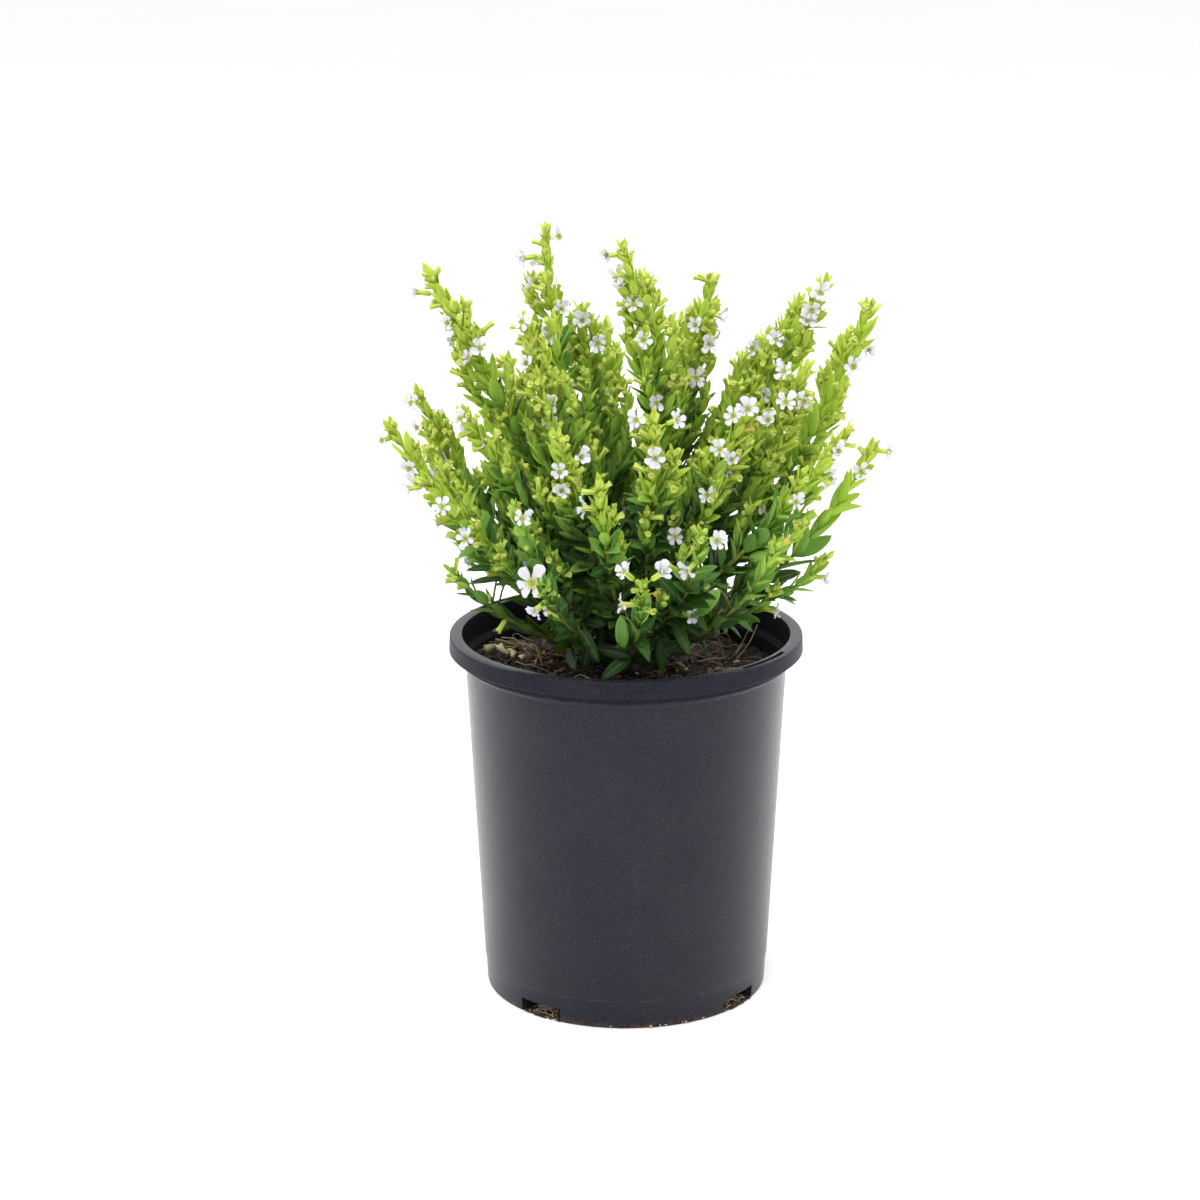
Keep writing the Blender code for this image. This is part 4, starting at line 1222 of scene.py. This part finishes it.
# Dead straws and stems that stand in the mix: points in mm and radius in mm
DEAD_STEMS = (
    (((-4, -6, 148), (-7, -10, 146), (-7, -14, 141), (-3, -19, 133)), 0.22),
    (((32, -20, 165), (34, -19, 155), (37, -16, 145), (40, -12, 133)), 0.2),
    (((42, -4, 136), (46, -6, 143), (50, -9, 153)), 0.35),
    (((44, -3, 135), (49, -3, 142), (52, -2, 149)), 0.3),
    (((25, -6, 138), (30, -6, 137), (34, -4, 134)), 0.5),
    (((28, -10, 136), (33, -4, 135.5), (39, 2, 134)), 0.4),
    (((-52, 2, 142), (-45, 0, 141), (-37, 6, 137), (-30, 4, 133)), 0.3),
    (((-50, 14, 139), (-44, 6, 141), (-38, -2, 136)), 0.35),
    (((-42, 10, 138), (-36, 4, 139), (-33, -6, 133)), 0.25))


def add_pale_lumps(random, made):
    for x, y, long, wide, tall, pale in PALE_LUMPS:
        spot = np.array((x * MM, y * MM, mix_height(x * MM, y * MM) + tall * 0.35 * MM))
        turn = (random.uniform(0, pi), random.normal(0, 0.3))
        size = np.array((long, wide, tall)) * MM
        made.add(lumps(random, [spot], [size], [turn], 4, 6, 0.34), GRIT, tone=pale)


def add_dead_stems(random, made):
    for points, radius in DEAD_STEMS:
        route = np.array(points, float) * MM
        t = np.linspace(0, len(route) - 1, 14)
        line = np.stack([np.interp(t, range(len(route)), route[:, axis]) for axis in range(3)], axis=-1)
        line[1:-1] = (line[:-2] + 2 * line[1:-1] + line[2:]) / 4
        radii = np.linspace(radius, radius * 0.6, 14) * MM
        made.add(tube(line, radii, 6), FIBRE, tone=random.uniform(0.3, 1))


def shadow_crumbs(random, made, finish, spread, reach, height, size, tone):
    """Crumbs at one height round the pot's axis, laid on the floor as a painted shadow: reach and size in mm,
    size with its flatness.
    """
    count = len(spread)
    radius = random.uniform(*reach, count) * MM
    spots = round_axis(radius, spread, height * MM)
    sizes = random.uniform(size[0], size[1], (count, 3)) * MM * (1, 1, size[2])
    turns = np.stack([random.uniform(0, 6, count), np.zeros(count)], axis=-1)
    made.add(lumps(random, spots, sizes, turns), finish, tone=random.uniform(*tone, count))


# Dark crumbs that fill the back of a notch, partly soil and partly painted shade: count, nearest and
# furthest radius and lowest and highest place in mm, and the palest tone
NOTCH_SHADE_CRUMBS = ((150, 47.5, 53.0, 3.6, 5.2, 0.4), (190, 47.4, 48.6, 1.7, 3.8, 0.5))
NOTCH_ROOTS, FLOOR_THREADS = 16, 14


def add_notch_roots(finishes):
    """Roots and dark crumbs that fill the inside of each drain notch, partly soil and partly painted shade,
    with crumbs laid on the floor there and at the front of the pot's foot as a painted shadow.
    """
    random = np.random.default_rng(NOTCH_SEED)
    made = Bundle()
    steps = np.linspace(0, 1, 9)
    for i in range(NOTCH_COUNT):
        middle = FEATURE_AZIMUTH - pi / 2 + 2 * pi * i / NOTCH_COUNT
        for _ in range(NOTCH_ROOTS):
            spread = random.uniform(-0.7, 0.7, 3) * NOTCH_ANGLE / 2
            radius = random.uniform(48, 53.5, 3) * MM
            height = np.sort(random.uniform(0.4, 5.2, 3)) * MM
            bends = [spot_round(r, middle + a, z) for r, a, z in zip(radius, spread, height)]
            thick = [random.uniform(0.12, 0.28) * MM] * 9
            made.add(tube(bezier(*bends, steps), thick, 5), FIBRE, tone=random.uniform(0.5, 1))
        for count, near, far, low, high, tone in NOTCH_SHADE_CRUMBS:
            spread = middle + random.uniform(-0.86, 0.86, count) * NOTCH_ANGLE / 2
            radius = random.uniform(near, far, count) * MM
            height = random.uniform(low, high, count) * MM
            spots = round_axis(radius, spread, height)
            sizes = random.uniform(0.8, 2.4, (count, 3)) * MM
            turns = np.stack([random.uniform(0, 6, count), random.normal(0, 0.5, count)], axis=-1)
            made.add(lumps(random, spots, sizes, turns), CRUMB, tone=random.uniform(0, tone, count))
        # Crumbs and fibres laid flat on the floor in the notch: a painted shadow.
        for finish, count, tone in ((CRUMB, 420, 1.0), (FIBRE, 70, 0.7)):
            spread = middle + random.uniform(-0.94, 0.94, count) * NOTCH_ANGLE / 2
            shadow_crumbs(random, made, finish, spread, (48.5, 56.3), 0.5, (0.6, 1.8, 0.35), (0.0, tone))
        for _ in range(FLOOR_THREADS):
            spread = middle + random.uniform(-0.8, 0.8, 2) * NOTCH_ANGLE / 2
            radius = random.uniform(49, 56, 2) * MM
            near, far = [spot_round(r, a, 0.9 * MM) for r, a in zip(radius, spread)]
            bend = (near + far) / 2 + UP * random.uniform(0.5, 3) * MM
            line = bezier(near, bend, far, steps)
            made.add(tube(line, [0.14 * MM] * 9, 5), FIBRE, tone=random.uniform(0.6, 1))
    # Crumbs and grit on the floor at the front of the pot's foot: a painted contact shadow.
    for finish, count in ((CRUMB, 30), (GRIT, 14)):
        spread = radians(-90) + np.concatenate([random.normal(0.24, 0.12, count // 2),
                                                random.uniform(-0.5, 0.6, count - count // 2)])
        shadow_crumbs(random, made, finish, spread, (55.6, 56.6), 0.8, (0.5, 1.3, 0.6), (0.3, 1.0))
    settle(made.piece("notch_roots_and_painted_shade", finishes, flat=True), "potting_mix")


# The large loose pieces: node, size in mm along, across and up, and turn in degrees
LOOSE_PIECES = (
    ("perlite_1", (7.0, 5.5, 4.0), 20), ("perlite_2", (4.5, 3.5, 3.0), 70),
    ("perlite_3", (5.0, 4.0, 3.4), -30), ("bark_chip_1", (11.0, 5.0, 3.0), 35),
    ("bark_chip_2", (8.0, 4.5, 2.6), -15))


def add_loose_pieces(bark, stone):
    random = np.random.default_rng(PIECE_SEED)
    for node, size, turn in LOOSE_PIECES:
        low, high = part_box(node)
        made = Bundle()
        made.add(lumps(random, [np.array((low + high) / 2)], [np.array(size) * MM], [(radians(turn), 0)],
                       10, 14, 0.09), 0, tone=0.75)
        finish, slot = (bark, "bark") if node.startswith("bark") else (stone, "perlite")
        settle(made.piece("rough_" + node, [finish], flat=True), slot, node)


# ---------------------------------------------------------------- the pot

# Sizes of the pot's moulded features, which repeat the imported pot
LIP_THICKNESS = 1.5 * MM
SKIRT_HEIGHT = 6.6 * MM
SKIRT_FLARE = 0.2 * MM
SKIRT_THICKNESS = 1.3 * MM
WALL = 1.3 * MM
SHOULDER_DROP = 9.5 * MM
SHOULDER_HEIGHT = 2.0 * MM
BODY_TOP_RADIUS = 63.8 * MM
FOOT_RADIUS = 56.8 * MM
FOOT_BAND_HEIGHT = 11.8 * MM
FOOT_BAND_STEP = 0.35 * MM
FOOT_WALL = 2.2 * MM
FLOOR_RISE = 6.2 * MM
FLOOR_THICKNESS = 1.5 * MM
FEATURE_AZIMUTH = radians(53)
NOTCH_COUNT = 4
NOTCH_ANGLE = radians(19.6)
NOTCH_HEIGHT = 5.7 * MM
NOTCH_DEPTH = 9 * MM
CHEEK_THICKNESS = 1.2 * MM
DRAIN_ANGLE = radians(14)
DRAIN_DEPTH = 6 * MM
SLOT_ANGLE = radians(23)
POT_STEPS = 240
SHARP_ANGLE = radians(32)
BODY_TOP = POT_HIGH.z - SHOULDER_DROP - SHOULDER_HEIGHT


def body_radius(z):
    return FOOT_RADIUS + (BODY_TOP_RADIUS - FOOT_RADIUS) * z / BODY_TOP


def pot_profile():
    """(radius, height) pairs from the axis out over the lip and back under the floor."""
    top, lip_low, skirt_low = POT_HIGH.z, POT_HIGH.z - LIP_THICKNESS, POT_HIGH.z - SKIRT_HEIGHT
    floor_top, shoulder = FLOOR_RISE + FLOOR_THICKNESS, POT_HIGH.z - SHOULDER_DROP
    foot = FOOT_RADIUS - FOOT_BAND_STEP
    turned_edge = [(RIM_RADIUS - 0.8 * MM * (1 - sin(a)), top - 0.8 * MM * (1 - cos(a)))
                   for a in np.linspace(0, pi / 2, 6)]
    return [
        (0, floor_top), (body_radius(floor_top) - WALL, floor_top), (BODY_TOP_RADIUS - WALL, BODY_TOP),
        (RIM_INNER, shoulder), (RIM_INNER, top - 0.4 * MM), (RIM_INNER + 0.12 * MM, top - 0.12 * MM),
        (RIM_INNER + 0.4 * MM, top), *turned_edge, (RIM_RADIUS + SKIRT_FLARE, skirt_low + 0.3 * MM),
        (RIM_RADIUS + SKIRT_FLARE - 0.3 * MM, skirt_low),
        (RIM_RADIUS + SKIRT_FLARE - SKIRT_THICKNESS, skirt_low), (RIM_RADIUS - SKIRT_THICKNESS, lip_low),
        (RIM_INNER + WALL, lip_low), (RIM_INNER + WALL, shoulder),
        (BODY_TOP_RADIUS + 0.25 * MM, BODY_TOP + 0.2 * MM),
        (BODY_TOP_RADIUS - 0.02 * MM, BODY_TOP - 0.5 * MM),
        (body_radius(FOOT_BAND_HEIGHT + 0.3 * MM), FOOT_BAND_HEIGHT + 0.3 * MM),
        (body_radius(FOOT_BAND_HEIGHT) - FOOT_BAND_STEP, FOOT_BAND_HEIGHT - FOOT_BAND_STEP),
        (foot, 0.5 * MM), (foot - 0.5 * MM, 0), (foot - FOOT_WALL, 0), (foot - FOOT_WALL, FLOOR_RISE),
        (0, FLOOR_RISE)]


def sector(inner, outer, low, high, azimuth, angle):
    """A block bent round the pot's axis, to cut or join with."""
    bm = bmesh.new()
    turns = azimuth - pi / 2 + np.linspace(-angle / 2, angle / 2, 9)
    rings = [[bm.verts.new((r * cos(a), r * sin(a), z))
              for r, z in ((inner, low), (outer, low), (outer, high), (inner, high))] for a in turns]
    for near, far in zip(rings, rings[1:]):
        for i in range(4):
            bm.faces.new((near[i], near[(i + 1) % 4], far[(i + 1) % 4], far[i]))
    bm.faces.new(rings[0][::-1])
    bm.faces.new(rings[-1])
    bmesh.ops.recalc_face_normals(bm, faces=bm.faces)
    mesh = bpy.data.meshes.new("cutter")
    bm.to_mesh(mesh)
    bm.free()
    return new_object("cutter", mesh)


def add_pot(outside, inside, skirt):
    """The moulded pot: a turned shell, with cheeks joined to it and notches, drains and slots cut."""
    mesh = bpy.data.meshes.new("moulded_pot")
    profile = pot_profile()
    mesh.from_pydata([(r, 0, z) for r, z in profile], [(i, i + 1) for i in range(len(profile) - 1)], [])
    pot = new_object("moulded_pot", mesh)
    turn = pot.modifiers.new("Turn", "SCREW")
    turn.steps = turn.render_steps = POT_STEPS
    turn.use_merge_vertices, turn.merge_threshold = True, 0.00001
    foot = FOOT_RADIUS - FOOT_BAND_STEP - FOOT_WALL
    cheek_angle = CHEEK_THICKNESS / foot
    cutters = []
    for i in range(NOTCH_COUNT):
        azimuth = FEATURE_AZIMUTH + 2 * pi * i / NOTCH_COUNT
        for side in (-1, 1):
            cutters.append(("UNION", sector(
                FOOT_RADIUS - NOTCH_DEPTH, foot + FOOT_WALL / 2, 0.5 * MM, FLOOR_RISE + FLOOR_THICKNESS / 2,
                azimuth + side * (NOTCH_ANGLE + cheek_angle * 0.8) / 2, cheek_angle)))
        cutters.append(("DIFFERENCE", sector(
            FOOT_RADIUS - NOTCH_DEPTH - 0.4 * MM, RIM_RADIUS, -WALL, NOTCH_HEIGHT, azimuth, NOTCH_ANGLE)))
        cutters.append(("DIFFERENCE", sector(
            foot - DRAIN_DEPTH, foot - 0.4 * MM, NOTCH_HEIGHT - WALL, FLOOR_RISE + FLOOR_THICKNESS + WALL,
            azimuth, DRAIN_ANGLE)))
    for azimuth in (FEATURE_AZIMUTH, FEATURE_AZIMUTH + pi):
        cutters.append(("DIFFERENCE", sector(
            RIM_INNER + WALL + 0.3 * MM, RIM_RADIUS - SKIRT_THICKNESS - 0.3 * MM,
            POT_HIGH.z - LIP_THICKNESS - WALL, POT_HIGH.z + WALL, azimuth, SLOT_ANGLE)))
    for operation, cutter in cutters:
        cut = pot.modifiers.new("Cut", "BOOLEAN")
        cut.operation, cut.object = operation, cutter
    bpy.context.view_layer.update()
    shaped = bpy.data.meshes.new_from_object(pot.evaluated_get(bpy.context.evaluated_depsgraph_get()))
    pot.modifiers.clear()
    pot.data = shaped
    for _, cutter in cutters:
        bpy.data.objects.remove(cutter)
    shaped.materials.clear()
    for finish in (outside, inside, skirt):
        shaped.materials.append(finish.material)
    for face in shaped.polygons:
        spot, radius = face.center, np.hypot(face.center.x, face.center.y)
        outwards = face.normal.x * spot.x + face.normal.y * spot.y
        if outwards < -0.1 * radius and FLOOR_RISE < spot.z < POT_HIGH.z - 0.6 * MM:
            face.material_index = 1
        elif outwards > 0.6 * radius and spot.z > BODY_TOP + 2 * MM:
            face.material_index = 2
    shaped.shade_smooth()
    shaped.set_sharp_from_angle(angle=SHARP_ANGLE)
    settle(pot, "pot_plastic", "pot")


# ---------------------------------------------------------------- camera and studio

def main_camera():
    data = bpy.data.cameras.new("camera")
    data.lens = CAMERA_LENS
    data.shift_x = CAMERA_SHIFT
    camera = new_object("camera", data)
    camera.location = CAMERA_PLACE
    camera.rotation_euler = (pi / 2 - CAMERA_PITCH, 0, 0)
    bpy.context.scene.camera = camera


# Name, place, size, power and aim
SOFT_LIGHTS = (
    ("top_softbox", (-0.25, -0.7, 1.7), 1.4, 27, (0, 0, 0.15)),
    ("left_back_softbox", (-1.1, 0.9, 0.9), 1.0, 7, (-0.4, 0.3, 0.0)),
    ("right_back_softbox", (1.1, 0.9, 0.9), 1.0, 12, (0.4, 0.3, 0.0)))


def soft_light(name, place, size, power, aim):
    data = bpy.data.lights.new(name, "AREA")
    data.size = size
    data.energy = power
    light = new_object(name, data)
    light.location = place
    light.visible_camera = False
    light.rotation_euler = (Vector(aim) - Vector(place)).to_track_quat("-Z", "Y").to_euler()


def studio():
    world = bpy.data.worlds.new("white_studio")
    world.use_nodes = True
    nodes, links = world.node_tree.nodes, world.node_tree.links
    place, split, ramp = (nodes.new("ShaderNode" + kind)
                          for kind in ("TexCoord", "SeparateXYZ", "MapRange"))
    links.new(place.outputs["Generated"], split.inputs[0])
    links.new(split.outputs["Y"], ramp.inputs["Value"])
    for label, value in (("From Min", -1.0), ("From Max", 1.0),
                         ("To Min", FRONT_GLOW), ("To Max", BACK_GLOW)):
        ramp.inputs[label].default_value = value
    links.new(ramp.outputs[0], nodes["Background"].inputs["Strength"])
    nodes["Background"].inputs["Color"].default_value = (1, 1, 1, 1)
    bpy.context.scene.world = world
    bpy.context.scene.view_settings.view_transform = "Standard"
    bm = bmesh.new()
    bmesh.ops.create_grid(bm, x_segments=1, y_segments=1, size=FLOOR_REACH)
    mesh = bpy.data.meshes.new("floor")
    bm.to_mesh(mesh)
    bm.free()
    paper = Finish("pale_paper", Roughness=0.9, Specular_IOR_Level=0.1)
    paper.set(Base_Color=paper.ramp(paper.grain(3, 2), (0.3, (0.91, 0.91, 0.91)),
                                    (0.7, (0.92, 0.92, 0.92))))
    mesh.materials.append(paper.material)
    floor = new_object("floor", mesh)
    for light in SOFT_LIGHTS:
        soft_light(*light)


# Finishes of what lies on the mix, in the order of their numbers: dark, middle and pale tone, waves of
# grain per metre and depth of the grain
LITTER_TONES = (
    ("dark_crumb", ((16, 12, 10), (40, 28, 22), (84, 58, 42)), 900, 0.0004),
    ("torn_bark", ((40, 24, 18), (86, 52, 34), (142, 98, 64)), 800, 0.0005),
    ("dry_fibre", ((84, 66, 50), (146, 126, 100), (206, 190, 160)), 600, 0.0001),
    ("pale_grit", ((120, 112, 76), (190, 182, 132), (226, 220, 182)), 900, 0.0004),
    ("withered_leaf", ((52, 52, 30), (110, 96, 52), (168, 146, 84)), 500, 0.0002))


def main():
    add_plant([leaf_finish(), stem_finish(), calyx_finish(), petal_finish(), anther_finish()])
    add_crown(woody_finish())
    add_mix(mix_finish())
    add_pot(plastic_finish("nursery_plastic", 0.16, 0.17, 1.45), stained_and_shaded_plastic_finish(),
            plastic_finish("rim_plastic", 0.06, 0.34, 1.5))
    litter = [crumb_finish(name, *(srgb(*tone) for tone in tones), scale, depth)
              for name, tones, scale, depth in LITTER_TONES]
    add_litter(litter)
    add_notch_roots(litter)
    add_loose_pieces(litter[BARK], litter[GRIT])
    studio()
    main_camera()


main()
